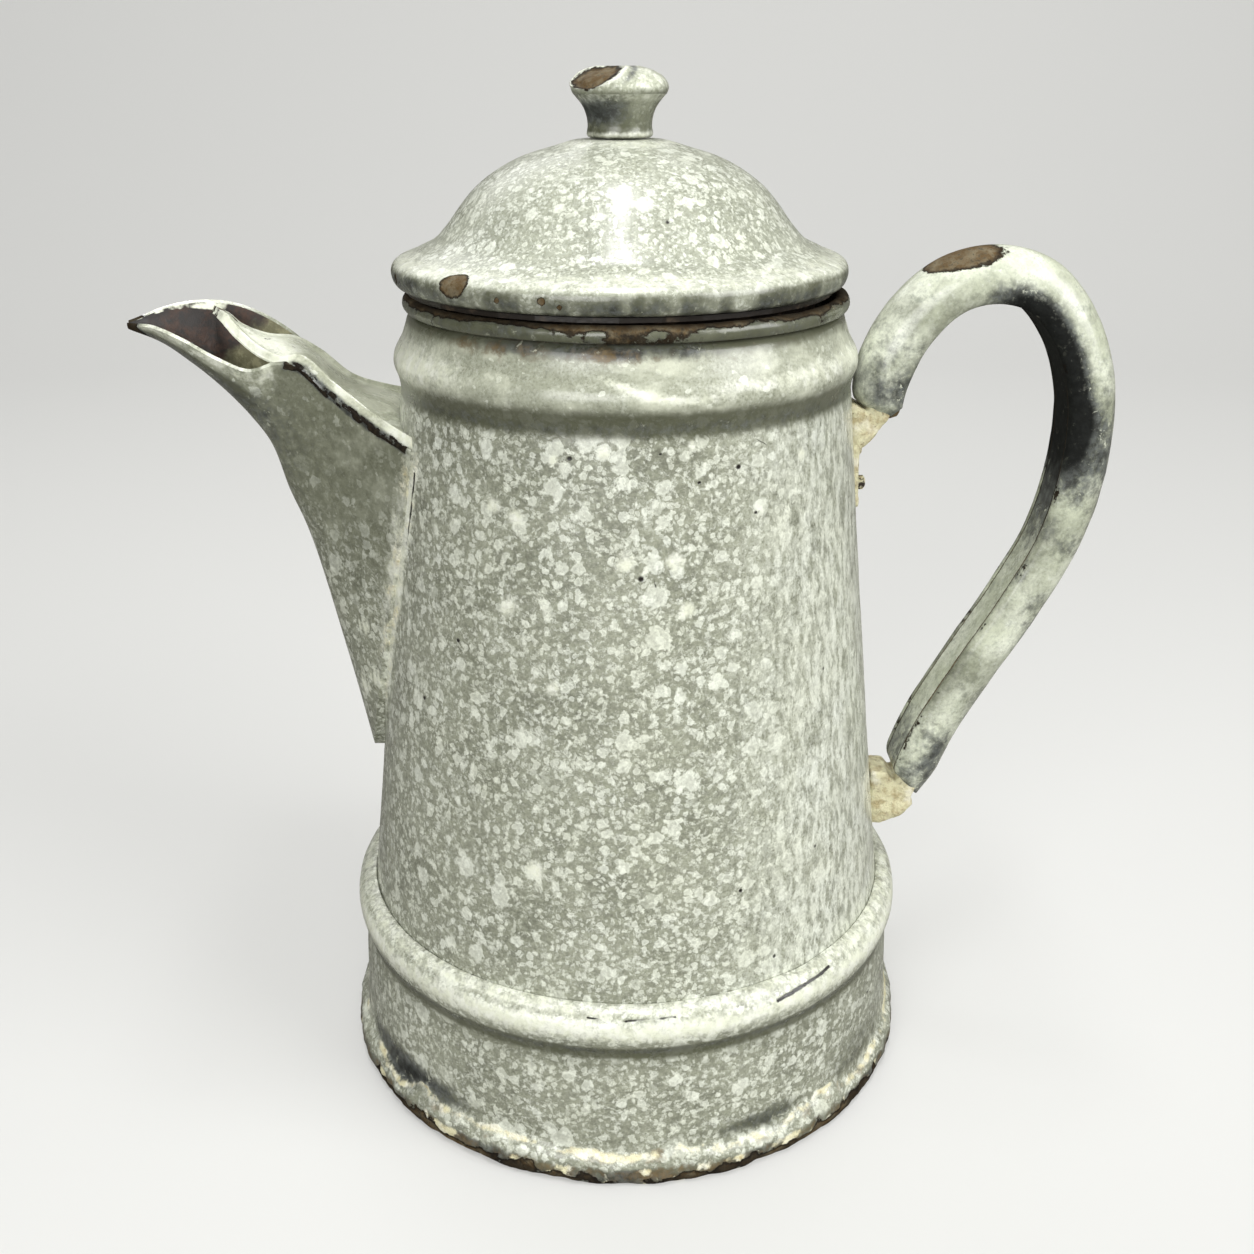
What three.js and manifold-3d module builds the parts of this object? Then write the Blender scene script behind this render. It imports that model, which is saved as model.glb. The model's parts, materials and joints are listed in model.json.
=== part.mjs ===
// An enamelled sheet-steel coffee pot: tapered body on a separate lower band, trough spout with a
// cover plate, hollow ear handle, and a lid that lifts off.
// Millimetres, +Z up. The origin is the centre of the foot on the table, the spout points along -X
// and the handle along +X.
import * as THREE from 'three';
import { mergeVertices } from 'three/addons/utils/BufferGeometryUtils.js';
import Module from 'manifold-3d';

const wasm = await Module();
wasm.setup();

// Driving dimensions
const SHEET = 0.9;              // steel with its enamel
const GAP = 0.3;                // between neighbouring pieces
const TURN_STEPS = 36;          // facets round the pot
const KNOB_STEPS = 18;          // facets round the knob and the rivets

const FOOT_R = 66;              // outside of the folded foot seam
const BAND_TOP_Z = 41.9;        // lip of the lower band
const WALL_FOOT = { r: 60.3, z: 34 };
const WALL_TOP = { r: 47.2, z: 149 };
const SHOULDER = { r: 47.7, z: 160 };
const RIM = { r: 43.55, z: 172.4, curl: 0.85 };
const RIM_WIRE_R = 0.55;

const SPOUT_TIP = { x: -102.8, z: 166.7 };
const SPOUT_ROOT_REACH = 12;    // how far the trough is modelled into the wall before it is trimmed
const STRAINER_HOLE_R = 2;

const HANDLE_WIDTH = 14;
const HANDLE_DEPTH = 11;
const HANDLE_MOUTH = 9.6;       // gap between the channel's two edges, which the strip closes
const BRACKET_WIDTH = 9;
const RIVET_R = 1.6;

const LID_SHIFT_X = -1.2;       // the lid rests a little towards the spout in its loose fit
const BRIM_R = 46;
const COLLAR_R = 39.8;
const COLLAR_FOOT_Z = 164.5;
const DOME_TOP_Z = 202.8;
const KNOB_R = 9.6;

const ENAMEL = { color: 0x9ba095, roughness: 0.3, metalness: 0.0 };
const PALE_ENAMEL = { color: 0xb9bdaf, roughness: 0.32, metalness: 0.0 };
const CREAM_ENAMEL = { color: 0xd8d3b4, roughness: 0.55, metalness: 0.0 };
const BARE_STEEL = { color: 0x4a423c, roughness: 0.6, metalness: 0.7 };

// ---- geometry helpers -------------------------------------------------------------------------

const point = (x, y) => new THREE.Vector2(x, y);

// Points on an arc round (x, y), from one angle in degrees to another.
function arc(x, y, radius, from, to, steps) {
  return Array.from({ length: steps + 1 }, (_, i) => {
    const a = THREE.MathUtils.degToRad(from + ((to - from) * i) / steps);
    return point(x + radius * Math.cos(a), y + radius * Math.sin(a));
  });
}

// Closed outline of a sheet: the given line, then the same line moved to its left by the thickness.
function sheetOutline(line, thickness = SHEET) {
  const left = (a, b) => point(a.y - b.y, b.x - a.x).normalize();
  const other = line.map((p, i) => {
    const before = left(line[Math.max(i - 1, 0)], line[Math.max(i, 1)]);
    const after = left(line[Math.min(i, line.length - 2)], line[Math.min(i + 1, line.length - 1)]);
    const mitre = before.clone().add(after).normalize();
    return p.clone().addScaledVector(mitre, thickness / Math.max(mitre.dot(after), 0.5));
  });
  return [...line, ...other.reverse(), line[0]];
}

// Turns an (r, z) outline round the Z axis.
function turned(outline, steps = TURN_STEPS) {
  return new THREE.LatheGeometry(outline, steps).rotateX(Math.PI / 2);
}

// Skin over sections: each has a 2-D outline and the origin, u and v directions of its plane.
function loft(sections) {
  const count = sections[0].outline.length;
  const positions = sections.flatMap(({ origin, u, v, outline }) => outline.flatMap((p) =>
    origin.clone().addScaledVector(u, p.x).addScaledVector(v, p.y).toArray()));
  const index = [];
  for (let s = 0; s + 1 < sections.length; s++) {
    for (let k = 0; k < count; k++) {
      const a = s * count + k;
      const b = s * count + ((k + 1) % count);
      index.push(a, b, b + count, a, b + count, a + count);
    }
  }
  const last = (sections.length - 1) * count;
  for (const [a, b, c] of THREE.ShapeUtils.triangulateShape(sections[0].outline, [])) index.push(a, c, b);
  for (const [a, b, c] of THREE.ShapeUtils.triangulateShape(sections.at(-1).outline, [])) {
    index.push(last + a, last + b, last + c);
  }
  const geometry = new THREE.BufferGeometry();
  geometry.setAttribute('position', new THREE.Float32BufferAttribute(positions, 3));
  geometry.setIndex(index);
  return geometry;
}

// Plate with its outline in the XZ plane, centred on y = 0.
function plateXZ(points, width) {
  const shape = new THREE.Shape(points.map(([x, z]) => point(x, z)));
  const geometry = new THREE.ExtrudeGeometry(shape, { depth: width, bevelEnabled: false });
  return geometry.translate(0, 0, -width / 2).rotateX(Math.PI / 2);
}

// Rod along X from x0 to x1.
function rodX(x0, x1, y, z, radius, steps = 8) {
  const geometry = new THREE.CylinderGeometry(radius, radius, x1 - x0, steps);
  return geometry.rotateZ(Math.PI / 2).translate((x0 + x1) / 2, y, z);
}

function solid(geometry) {
  const bare = geometry.clone();
  bare.deleteAttribute('normal');
  bare.deleteAttribute('uv');
  const merged = mergeVertices(bare);
  const faces = [];
  for (let i = 0; i < merged.index.count; i += 3) {
    const [a, b, c] = [0, 1, 2].map((k) => merged.index.getX(i + k));
    if (a !== b && b !== c && c !== a) faces.push(a, b, c);
  }
  return new wasm.Manifold(new wasm.Mesh({
    numProp: 3,
    vertProperties: Float32Array.from(merged.attributes.position.array),
    triVerts: Uint32Array.from(faces),
  }));
}

function geometryOf(manifold) {
  const { vertProperties, triVerts } = manifold.getMesh();
  const geometry = new THREE.BufferGeometry();
  geometry.setAttribute('position', new THREE.BufferAttribute(vertProperties, 3));
  geometry.setIndex(new THREE.BufferAttribute(triVerts, 1));
  geometry.computeVertexNormals();
  return geometry;
}

const cut = (geometry, ...tools) =>
  geometryOf(tools.reduce((left, tool) => left.subtract(solid(tool)), solid(geometry)));

function part(name, geometry, look) {
  const mesh = new THREE.Mesh(geometry, new THREE.MeshStandardMaterial(look));
  mesh.name = name;
  return mesh;
}

// ---- pot body ---------------------------------------------------------------------------------

const wallRadius = (z) =>
  THREE.MathUtils.mapLinear(z, WALL_FOOT.z, WALL_TOP.z, WALL_FOOT.r, WALL_TOP.r);

// Outside of the body from its flared lower edge to the neck under the rim.
function bodyLine() {
  return [
    point(WALL_FOOT.r + 1, WALL_FOOT.z - 1),
    point(wallRadius(38), 38),
    point(wallRadius(95) - 0.25, 95),
    point(WALL_TOP.r, WALL_TOP.z),
    point(WALL_TOP.r - 0.5, 155),
    point(SHOULDER.r - 0.2, 157.6),
    point(SHOULDER.r, SHOULDER.z),
    point(SHOULDER.r - 0.5, 162.6),
    point(45.5, 165.7),
    point(44.8, 168.6),
  ];
}

// The sheet turns in under the curl, then rolls outwards over the wire.
function curlLine() {
  return [
    point(RIM.r - RIM.curl - 0.05, 170.6),
    ...arc(RIM.r, RIM.z, RIM.curl, 180, -40, 6),
  ];
}

// Everything inside the body's outer face, grown by the gap: it trims what meets the wall.
function bodyEnvelope() {
  const outside = bodyLine().map((p) => point(p.x + GAP, p.y));
  return turned([point(0, outside[0].y), ...outside, point(0, outside.at(-1).y)]);
}

// Where the three bracket rivets pass through the wall.
const RIVETS = {
  handle_upper_rivet_high: { z: 140.5 },
  handle_upper_rivet_low: { z: 133 },
  handle_lower_rivet: { z: 57.3 },
};

function strainerHoles() {
  const rows = [[88, 1], [97, 2], [106, 3], [115, 2], [124, 3], [133, 2]];
  const pitch = 8;
  return rows.flatMap(([z, count]) => Array.from({ length: count }, (_, i) =>
    rodX(-62, -40, (i - (count - 1) / 2) * pitch, z, STRAINER_HOLE_R)));
}

function rivetHoles(reach) {
  return Object.values(RIVETS).map(({ z }) =>
    rodX(wallRadius(z) - 5, wallRadius(z) + reach, 0, z, RIVET_R + GAP, 10));
}

function bodyShell() {
  const sheet = turned(sheetOutline([...bodyLine(), ...curlLine()]));
  return cut(sheet, ...strainerHoles(), ...rivetHoles(5));
}

function rimWire() {
  const section = arc(RIM.r, RIM.z, RIM_WIRE_R, 0, 360, 6);
  section[section.length - 1] = section[0].clone();
  return turned(section);
}

// Folded foot seam, tapered wall and the round bead that grips the body.
function baseBand() {
  const line = [
    point(FOOT_R - 4.5, 0),
    point(FOOT_R - 0.7, 0),
    point(FOOT_R, 0.7),
    point(FOOT_R, 3.4),
    point(FOOT_R - 1, 6.2),
    point(FOOT_R - 2.1, 7.6),
    point(62.5, 31.2),
    point(63.2, 33.2),
    point(63.9, 36),
    point(63.7, 38.6),
    point(62.4, 40.9),
    point(60.3, BAND_TOP_Z),
  ];
  return turned(sheetOutline(line));
}

// Disc raised clear of the table, its flange standing up inside the band.
function bottomPlate() {
  const line = [
    point(0, 3.8),
    point(54, 3.6),
    point(57, 1.2),
    point(61.5, 1.2),
    point(62.4, 2.1),
    point(62.4, 12),
  ];
  return turned(sheetOutline(line));
}

// ---- spout ------------------------------------------------------------------------------------

// Each station runs from the keel to the rim: t = 0 at the wall, 1 at the pouring tip.
const KEEL = new THREE.CatmullRomCurve3([
  [-58.6, 70], [-62.9, 93], [-69.2, 122], [-77.6, 145.4], [-90.2, 159.2], [SPOUT_TIP.x, SPOUT_TIP.z - 1],
].map(([x, z]) => new THREE.Vector3(x, 0, z)), false, 'centripetal');

// The trough's two edges, each with its distance from the middle as y. The mouth is twisted: ahead
// of the cover's ridges the near edge dips and the far edge stands up.
const NEAR_RIM = new THREE.CatmullRomCurve3([
  [-41.5, 24, 146.2], [-50, 18, 149], [-60.3, 12, 155.2], [-71, 9.6, 160.4], [-86, 9.5, 163.2],
  [SPOUT_TIP.x, 1.6, SPOUT_TIP.z + 0.6],
].map(([x, w, z]) => new THREE.Vector3(x, w, z)), false, 'centripetal');

const FAR_RIM = new THREE.CatmullRomCurve3([
  [-41.5, 24, 146.2], [-50, 18, 148.2], [-60.3, 12, 152.4], [-71, 11.2, 162.4], [-86, 11.3, 169],
  [SPOUT_TIP.x, 1.6, SPOUT_TIP.z + 0.6],
].map(([x, w, z]) => new THREE.Vector3(x, w, z)), false, 'centripetal');

const ACROSS_SPOUT = new THREE.Vector3(0, -1, 0);
const TROUGH_BULGE = 0.62;      // 0 is a straight-sided V, 1 a half ellipse
const TROUGH_STEPS = 5;

// Points of one side of the trough's section, from the keel up to its rim.
function troughSide(halfWidth, floor, height) {
  return Array.from({ length: TROUGH_STEPS + 1 }, (_, i) => {
    const a = ((i / TROUGH_STEPS) * Math.PI) / 2;
    const share = 1 - Math.cos(a);
    const width = halfWidth * THREE.MathUtils.lerp(share, Math.sin(a), TROUGH_BULGE);
    return point(width, THREE.MathUtils.lerp(floor, height, share));
  });
}

// Section of the trough's hollow or outside: a rounded V from rim to rim, closed above.
function troughSection(t, inset, headroom) {
  const keel = KEEL.getPoint(t);
  const rims = [NEAR_RIM, FAR_RIM].map((rim) => rim.getPoint(t));
  const up = rims[0].clone().lerp(rims[1], 0.5).setY(0).sub(keel);
  const floor = Math.min(inset * 1.2, up.length() * 0.6);
  up.normalize();
  const [near, far] = rims.map((rim) => {
    const height = rim.clone().setY(0).sub(keel).dot(up);
    return troughSide(Math.max(rim.y - inset, 0.4), floor, height);
  });
  const lid = headroom > 0
    ? [near, far].map((side, i) => point((i ? -1 : 1) * side.at(-1).x, side.at(-1).y + headroom))
    : [];
  const mirrored = far.slice(1).reverse().map((p) => point(-p.x, p.y));
  return { origin: keel, u: ACROSS_SPOUT, v: up, outline: [...near, ...lid, ...mirrored] };
}

function troughSolid(stations, inset, headroom) {
  const sections = stations.map((t) => troughSection(t, inset, headroom));
  const root = { ...sections[0], origin: sections[0].origin.clone() };
  root.origin.x += SPOUT_ROOT_REACH;
  return loft([root, ...sections]);
}

function spoutBody() {
  const outsideStations = [0, 0.12, 0.24, 0.36, 0.48, 0.58, 0.68, 0.78, 0.87, 0.94, 1];
  const hollowStations = outsideStations.slice(0, -1);
  return cut(
    troughSolid(outsideStations, 0, 0),
    troughSolid(hollowStations, SHEET, 4),
    bodyEnvelope(),
  );
}

// The point midway between the trough's edges, and the span from the far edge to the near one.
function betweenRims(t) {
  const near = NEAR_RIM.getPoint(t);
  const far = FAR_RIM.getPoint(t);
  near.y = -near.y;
  return { middle: near.clone().lerp(far, 0.5), across: near.sub(far) };
}

// The cover rides on the trough's edges; ahead of the ridges it narrows to a tongue that leans to
// the far rim.
function coverSection(t) {
  const tongue = THREE.MathUtils.smoothstep(t, 0.5, 0.64);
  const nose = THREE.MathUtils.smoothstep(t, 0.7, 0.82);
  const { middle, across } = betweenRims(t);
  const ahead = betweenRims(t + 0.02).middle.sub(middle);
  const u = across.clone().normalize();
  const v = new THREE.Vector3().crossVectors(ahead, u).normalize();
  const tongueWidth = THREE.MathUtils.lerp(6.6, 2.6, nose);
  const halfWidth = THREE.MathUtils.lerp(across.length() / 2 + 0.5, tongueWidth, tongue);
  const lean = 7 * nose;
  const ridge = THREE.MathUtils.lerp(1.3, 0, tongue);
  const ridgeInside = Math.max(halfWidth - 1.4, halfWidth * 0.75);
  const crown = 1.1 + 1.2 * tongue;
  const outline = [
    point(-halfWidth, 0),
    point(0, crown),
    point(halfWidth, 0),
    point(halfWidth, SHEET + ridge),
    point(ridgeInside, SHEET + ridge),
    point(halfWidth * 0.55, SHEET + crown * 0.75),
    point(0, SHEET + crown),
    point(-halfWidth * 0.55, SHEET + crown * 0.75),
    point(-ridgeInside, SHEET + ridge),
    point(-halfWidth, SHEET + ridge),
  ];
  const origin = middle.addScaledVector(u, -lean).addScaledVector(v, GAP);
  return { origin, u, v, outline };
}

function spoutCover() {
  const stations = [0, 0.12, 0.24, 0.36, 0.46, 0.52, 0.58, 0.64, 0.7, 0.76, 0.82];
  const sections = stations.map(coverSection);
  const root = { ...sections[0], origin: sections[0].origin.clone() };
  root.origin.x += SPOUT_ROOT_REACH;
  return cut(loft([root, ...sections]), bodyEnvelope());
}

// ---- handle -----------------------------------------------------------------------------------

const HANDLE_PATH = new THREE.CatmullRomCurve3([
  [51.2, 143], [53, 157], [58.6, 168.4], [66.5, 175.3], [76, 177.2], [85, 174.4], [92.6, 165.5], [97, 153],
  [97.5, 138], [94.3, 121], [87.4, 105.6], [78.6, 89.6], [71.4, 75.6], [67.4, 64.6], [65.2, 54.5],
].map(([x, z]) => new THREE.Vector3(x, 0, z)), false, 'centripetal');

const ACROSS_HANDLE = new THREE.Vector3(0, 1, 0);

function handleSections(outline, steps) {
  return Array.from({ length: steps + 1 }, (_, i) => {
    const tangent = HANDLE_PATH.getTangentAt(i / steps);
    return {
      origin: HANDLE_PATH.getPointAt(i / steps),
      u: ACROSS_HANDLE,
      v: new THREE.Vector3(-tangent.z, 0, tangent.x),
      outline,
    };
  });
}

// Outside of the channel in (y, outward): a round back with its two edges turned in at the mouth.
function channelLine() {
  const r = HANDLE_WIDTH / 2;
  const inner = -HANDLE_DEPTH / 2;
  const back = arc(0, HANDLE_DEPTH / 2 - r, r, 0, 180, 6);
  return [
    point(HANDLE_MOUTH / 2, inner),
    point(r - 0.6, inner + 0.5),
    point(r, inner + 1.7),
    ...back,
    point(-r, inner + 1.7),
    point(0.6 - r, inner + 0.5),
    point(-HANDLE_MOUTH / 2, inner),
  ];
}

// Wedges that cut the tube's two ends off on the slant.
function handleEndCuts() {
  return [
    plateXZ([[40, 153.4], [60.5, 146.2], [60, 120], [40, 120]], 30),
    plateXZ([[58, 68], [61.5, 64], [68.5, 56], [74, 49.7], [74, 40], [50, 40]], 30),
  ];
}

function handleChannel() {
  const outline = sheetOutline(channelLine()).slice(0, -1);
  return cut(loft(handleSections(outline, 22)), ...handleEndCuts(), bodyEnvelope());
}

function handleStrip() {
  const half = HANDLE_MOUTH / 2 - GAP;
  const inner = -HANDLE_DEPTH / 2;
  const outline = [
    point(-half, inner),
    point(half, inner),
    point(half, inner + SHEET),
    point(-half, inner + SHEET),
  ];
  return cut(loft(handleSections(outline, 22)), ...handleEndCuts());
}

// Wall strap that turns out under the tube's end and stands up inside it.
function upperBracket() {
  const outline = [
    [45, 128.6], [50.6, 128.6], [49.9, 141], [54.6, 145.2], [55.2, 147.6], [56.4, 152.6], [52.6, 154],
    [50.6, 149.2], [45, 151],
  ];
  return cut(plateXZ(outline, BRACKET_WIDTH), bodyEnvelope(), ...rivetHoles(8));
}

// Block between the wall and the tube's lower end, with a tongue that stands up inside the tube.
function lowerBracket() {
  const outline = [
    [55, 50.5], [60.6, 50.8], [64.6, 52.4], [67.7, 55.7], [66.8, 57.2], [69.1, 64.2], [64.9, 65.6],
    [62.8, 61.9], [61, 63.8], [55, 63.6],
  ];
  return cut(plateXZ(outline, BRACKET_WIDTH), bodyEnvelope(), ...rivetHoles(8));
}

// Rivet along X with a domed head inside the pot and a low head outside or buried in the bracket.
function rivet(z, gripEnd) {
  const inside = wallRadius(z) - SHEET - 2.1;
  const outline = [
    point(0, inside),
    point(RIVET_R, inside + 0.2),
    point(RIVET_R * 1.7, inside + 1),
    point(RIVET_R * 1.7, inside + 1.4),
    point(RIVET_R, inside + 1.4),
    point(RIVET_R, gripEnd),
    point(RIVET_R * 0.6, gripEnd + 0.5),
    point(0, gripEnd + 0.6),
  ];
  return new THREE.LatheGeometry(outline, 10).rotateZ(-Math.PI / 2).translate(0, 0, z);
}

// ---- lid --------------------------------------------------------------------------------------

// Brim rolled under, a hollow sweep, then the dome up to the knob's hole.
function lidDome() {
  const line = [
    point(BRIM_R - 3.4, 175.7),
    point(BRIM_R - 1.1, 175.7),
    point(BRIM_R - 0.3, 176.7),
    point(BRIM_R, 178.4),
    point(BRIM_R - 0.7, 180),
    point(BRIM_R - 2.3, 181),
    point(40.6, 182),
    point(36.6, 184.2),
    point(34, 187),
    point(31.4, 190.9),
    point(28.6, 194),
    point(24.6, 197),
    point(19.4, 199.5),
    point(13.4, 201.4),
    point(8.6, DOME_TOP_Z),
    point(2.4, DOME_TOP_Z),
  ];
  return turned(sheetOutline(line));
}

// Ring that goes down into the mouth; its flange rests over the rim.
function lidCollar() {
  return turned(sheetOutline([
    point(COLLAR_R - 0.8, COLLAR_FOOT_Z),
    point(COLLAR_R, 173.2),
    point(COLLAR_R + 0.9, 174.45),
    point(BRIM_R - 2.8, 174.45),
  ]));
}

function knobNeck() {
  return turned(sheetOutline([
    point(2.4, DOME_TOP_Z + GAP),
    point(6.1, DOME_TOP_Z + GAP),
    point(6.4, 204.4),
    point(6.5, 206.4),
    point(7.3, 208.6),
    point(8.9, 210.6),
  ]), KNOB_STEPS);
}

function knobCap() {
  return turned(sheetOutline([
    point(8.4, 211.2),
    point(KNOB_R - 0.3, 211.5),
    point(KNOB_R, 212.5),
    point(8.6, 214.4),
    point(5.4, 215.6),
    point(0, 216),
  ]), KNOB_STEPS);
}

function knobRivet() {
  return turned([
    point(0, 199.3),
    point(2.8, 199.7),
    point(3.6, 200.5),
    point(2, 200.5),
    point(2, 204.3),
    point(3.8, 204.3),
    point(3.2, 205.3),
    point(0, 205.7),
  ], KNOB_STEPS);
}

function knobWasher() {
  return turned([
    point(2.4, 200.8),
    point(5.6, 200.8),
    point(5.6, 201.5),
    point(2.4, 201.5),
    point(2.4, 200.8),
  ], KNOB_STEPS);
}

// ---- assembly ---------------------------------------------------------------------------------

const pot = new THREE.Group();
pot.add(
  part('body_shell', bodyShell(), ENAMEL),
  part('rim_wire', rimWire(), BARE_STEEL),
  part('base_band', baseBand(), ENAMEL),
  part('bottom_plate', bottomPlate(), ENAMEL),
  part('spout_body', spoutBody(), ENAMEL),
  part('spout_cover', spoutCover(), PALE_ENAMEL),
  part('handle_channel', handleChannel(), PALE_ENAMEL),
  part('handle_inner_strip', handleStrip(), PALE_ENAMEL),
  part('handle_upper_bracket', upperBracket(), CREAM_ENAMEL),
  part('handle_lower_bracket', lowerBracket(), CREAM_ENAMEL),
  part('handle_upper_rivet_high', rivet(RIVETS.handle_upper_rivet_high.z, 49.8), CREAM_ENAMEL),
  part('handle_upper_rivet_low', rivet(RIVETS.handle_upper_rivet_low.z, 51), CREAM_ENAMEL),
  part('handle_lower_rivet', rivet(RIVETS.handle_lower_rivet.z, 63.5), CREAM_ENAMEL),
);

const lid = new THREE.Group();
lid.position.x = LID_SHIFT_X;
lid.add(
  part('lid_dome', lidDome(), ENAMEL),
  part('lid_collar', lidCollar(), ENAMEL),
  part('knob_neck', knobNeck(), ENAMEL),
  part('knob_cap', knobCap(), PALE_ENAMEL),
  part('knob_rivet', knobRivet(), BARE_STEEL),
  part('knob_washer', knobWasher(), BARE_STEEL),
);
pot.add(lid);

export default pot;
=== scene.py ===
"""The looks of a worn, enamelled coffee pot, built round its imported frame.

Shapes are worked out in millimetres in the frame's own axes and written to meshes in metres.
"""

import itertools
import json
import math
from types import SimpleNamespace

import bpy
import numpy as np
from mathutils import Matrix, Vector


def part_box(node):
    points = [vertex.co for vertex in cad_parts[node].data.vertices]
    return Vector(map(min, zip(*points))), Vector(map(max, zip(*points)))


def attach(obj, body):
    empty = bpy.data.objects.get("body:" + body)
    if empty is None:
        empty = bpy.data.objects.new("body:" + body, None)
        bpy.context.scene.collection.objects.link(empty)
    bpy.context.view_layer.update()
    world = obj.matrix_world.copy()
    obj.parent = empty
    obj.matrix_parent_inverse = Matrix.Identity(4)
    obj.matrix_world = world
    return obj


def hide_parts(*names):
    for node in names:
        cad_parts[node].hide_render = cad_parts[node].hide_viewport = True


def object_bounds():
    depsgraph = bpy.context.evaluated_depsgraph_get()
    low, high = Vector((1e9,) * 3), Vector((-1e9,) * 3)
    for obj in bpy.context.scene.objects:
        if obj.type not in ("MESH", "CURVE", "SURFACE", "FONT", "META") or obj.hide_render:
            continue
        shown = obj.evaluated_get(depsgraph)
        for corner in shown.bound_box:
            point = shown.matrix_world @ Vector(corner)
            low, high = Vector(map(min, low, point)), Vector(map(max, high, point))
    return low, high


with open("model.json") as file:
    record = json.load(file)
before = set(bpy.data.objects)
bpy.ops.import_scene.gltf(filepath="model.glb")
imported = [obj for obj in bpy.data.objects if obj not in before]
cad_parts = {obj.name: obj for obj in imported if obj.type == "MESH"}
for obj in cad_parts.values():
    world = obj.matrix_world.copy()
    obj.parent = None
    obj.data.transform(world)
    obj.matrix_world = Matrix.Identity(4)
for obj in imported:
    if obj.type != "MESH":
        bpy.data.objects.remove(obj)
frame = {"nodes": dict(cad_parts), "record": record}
CAD_LOW, CAD_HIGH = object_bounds()
MM = 0.001


def box_mm(node):
    """Lowest and highest corner of a CAD node, in millimetres."""
    low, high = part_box(node)
    return np.array(low) / MM, np.array(high) / MM


# ---- dimensions read from the frame ------------------------------

BODY_LOW, BODY_HIGH = box_mm("body_shell")
BAND_HIGH = box_mm("base_band")[1]
LID_LOW, LID_HIGH = box_mm("lid_dome")
KNOB_LOW, KNOB_HIGH = box_mm("knob_cap")
NECK_LOW = box_mm("knob_neck")[0]
SPOUT_LOW = box_mm("spout_body")[0]
HANDLE_LOW, HANDLE_HIGH = box_mm("handle_channel")

FOOT_R = BAND_HIGH[0]
BAND_TOP = BAND_HIGH[2]
RIM_TOP = BODY_HIGH[2]
LID_X = (LID_LOW[0] + LID_HIGH[0]) / 2
BRIM_R = (LID_HIGH[0] - LID_LOW[0]) / 2
BRIM_Z = LID_LOW[2]
DOME_TOP = LID_HIGH[2]
KNOB_TOP = KNOB_HIGH[2]
KNOB_R = (KNOB_HIGH[0] - KNOB_LOW[0]) / 2
SHEET = 0.9

# The straight wall, from where it leaves the lower band to the groove under the shoulder bead.
WALL_FOOT_R, WALL_FOOT_Z = 60.3, 34.0
WALL_TOP_R, WALL_TOP_Z = 47.2, 149.0

# The spout's root on the wall: its heights, its half width at the top, and its flare against the wall.
SPOUT_FOOT_Z, SPOUT_TOP_Z = SPOUT_LOW[2], 145.6
SPOUT_ROOT_HALF, SPOUT_FLARE = 22.8, 1.2
TROUGH_BULGE = 0.62  # 0 is a straight-sided V, 1 a half ellipse


# ---- numbers -----------------------------------------------------


def value_noise(points, seed):
    """Smooth noise from -1 to 1 at each point, one cell per unit."""
    cell = np.floor(points).astype(np.int64)
    f = points - cell
    f = f * f * f * (f * (f * 6 - 15) + 10)
    total = np.zeros(len(points))
    for corner in itertools.product((0, 1), repeat=3):
        x, y, z = (cell + np.array(corner)).T
        h = (x * 73856093) ^ (y * 19349663) ^ (z * 83492791) ^ (seed * 2654435761)
        h = (h ^ (h >> 13)) * 1274126177
        h = (h ^ (h >> 16)) & 0xFFFFFF
        weight = np.prod(np.where(corner, f, 1 - f), axis=1)
        total += weight * (h / 0x7FFFFF - 1)
    return total


def lumps(points, size, seed, octaves=3):
    """Layered noise from about -1 to 1 whose largest features are size millimetres across."""
    total, share = np.zeros(len(points)), 1.0
    for octave in range(octaves):
        total += share * value_noise(points * (2**octave / size), seed + 17 * octave)
        share *= 0.5
    return total / (2 - 2 * share)


def smooth(value, low, high):
    t = np.clip((value - low) / (high - low), 0, 1)
    return t * t * (3 - 2 * t)


def hump(value, centre, half_width):
    """1 at the centre, falling smoothly to 0 at half_width either side."""
    return smooth(1 - np.abs(value - centre) / half_width, 0, 1)


def turn_between(angle, centre):
    """Angle difference in degrees, wrapped to -180..180."""
    return (angle - centre + 180) % 360 - 180


def facing(angle, centre, half_width):
    """1 where an angle in degrees is at the centre, falling smoothly to 0 at half_width either side."""
    return hump(turn_between(angle, centre), 0, half_width)


def between(a, b, ta, tb, t):
    """The point at t on the line that passes a at ta and b at tb."""
    return (tb - t) / (tb - ta) * a + (t - ta) / (tb - ta) * b


def curve_through(points, spacing):
    """Evenly fine points on a centripetal Catmull-Rom curve through the given points."""
    p = np.asarray(points, float)
    p = np.vstack([2 * p[0] - p[1], p, 2 * p[-1] - p[-2]])
    out = []
    for a, b, c, d in zip(p[:-3], p[1:-2], p[2:-1], p[3:]):
        knots = [0.0]
        for start, end in ((a, b), (b, c), (c, d)):
            knots.append(knots[-1] + max(np.linalg.norm(end - start), 1e-6) ** 0.5)
        t0, t1, t2, t3 = knots
        steps = max(2, math.ceil(np.linalg.norm(c - b) / spacing))
        t = np.linspace(t1, t2, steps, endpoint=False)[:, None]
        first, second, third = between(a, b, t0, t1, t), between(b, c, t1, t2, t), between(c, d, t2, t3, t)
        early, late = between(first, second, t0, t2, t), between(second, third, t1, t3, t)
        out.append(between(early, late, t1, t2, t))
    return np.vstack([*out, p[-2]])


def arc(x, y, radius, start, end, steps):
    a = np.radians(np.linspace(start, end, steps + 1))
    return np.column_stack([x + radius * np.cos(a), y + radius * np.sin(a)])


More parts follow.
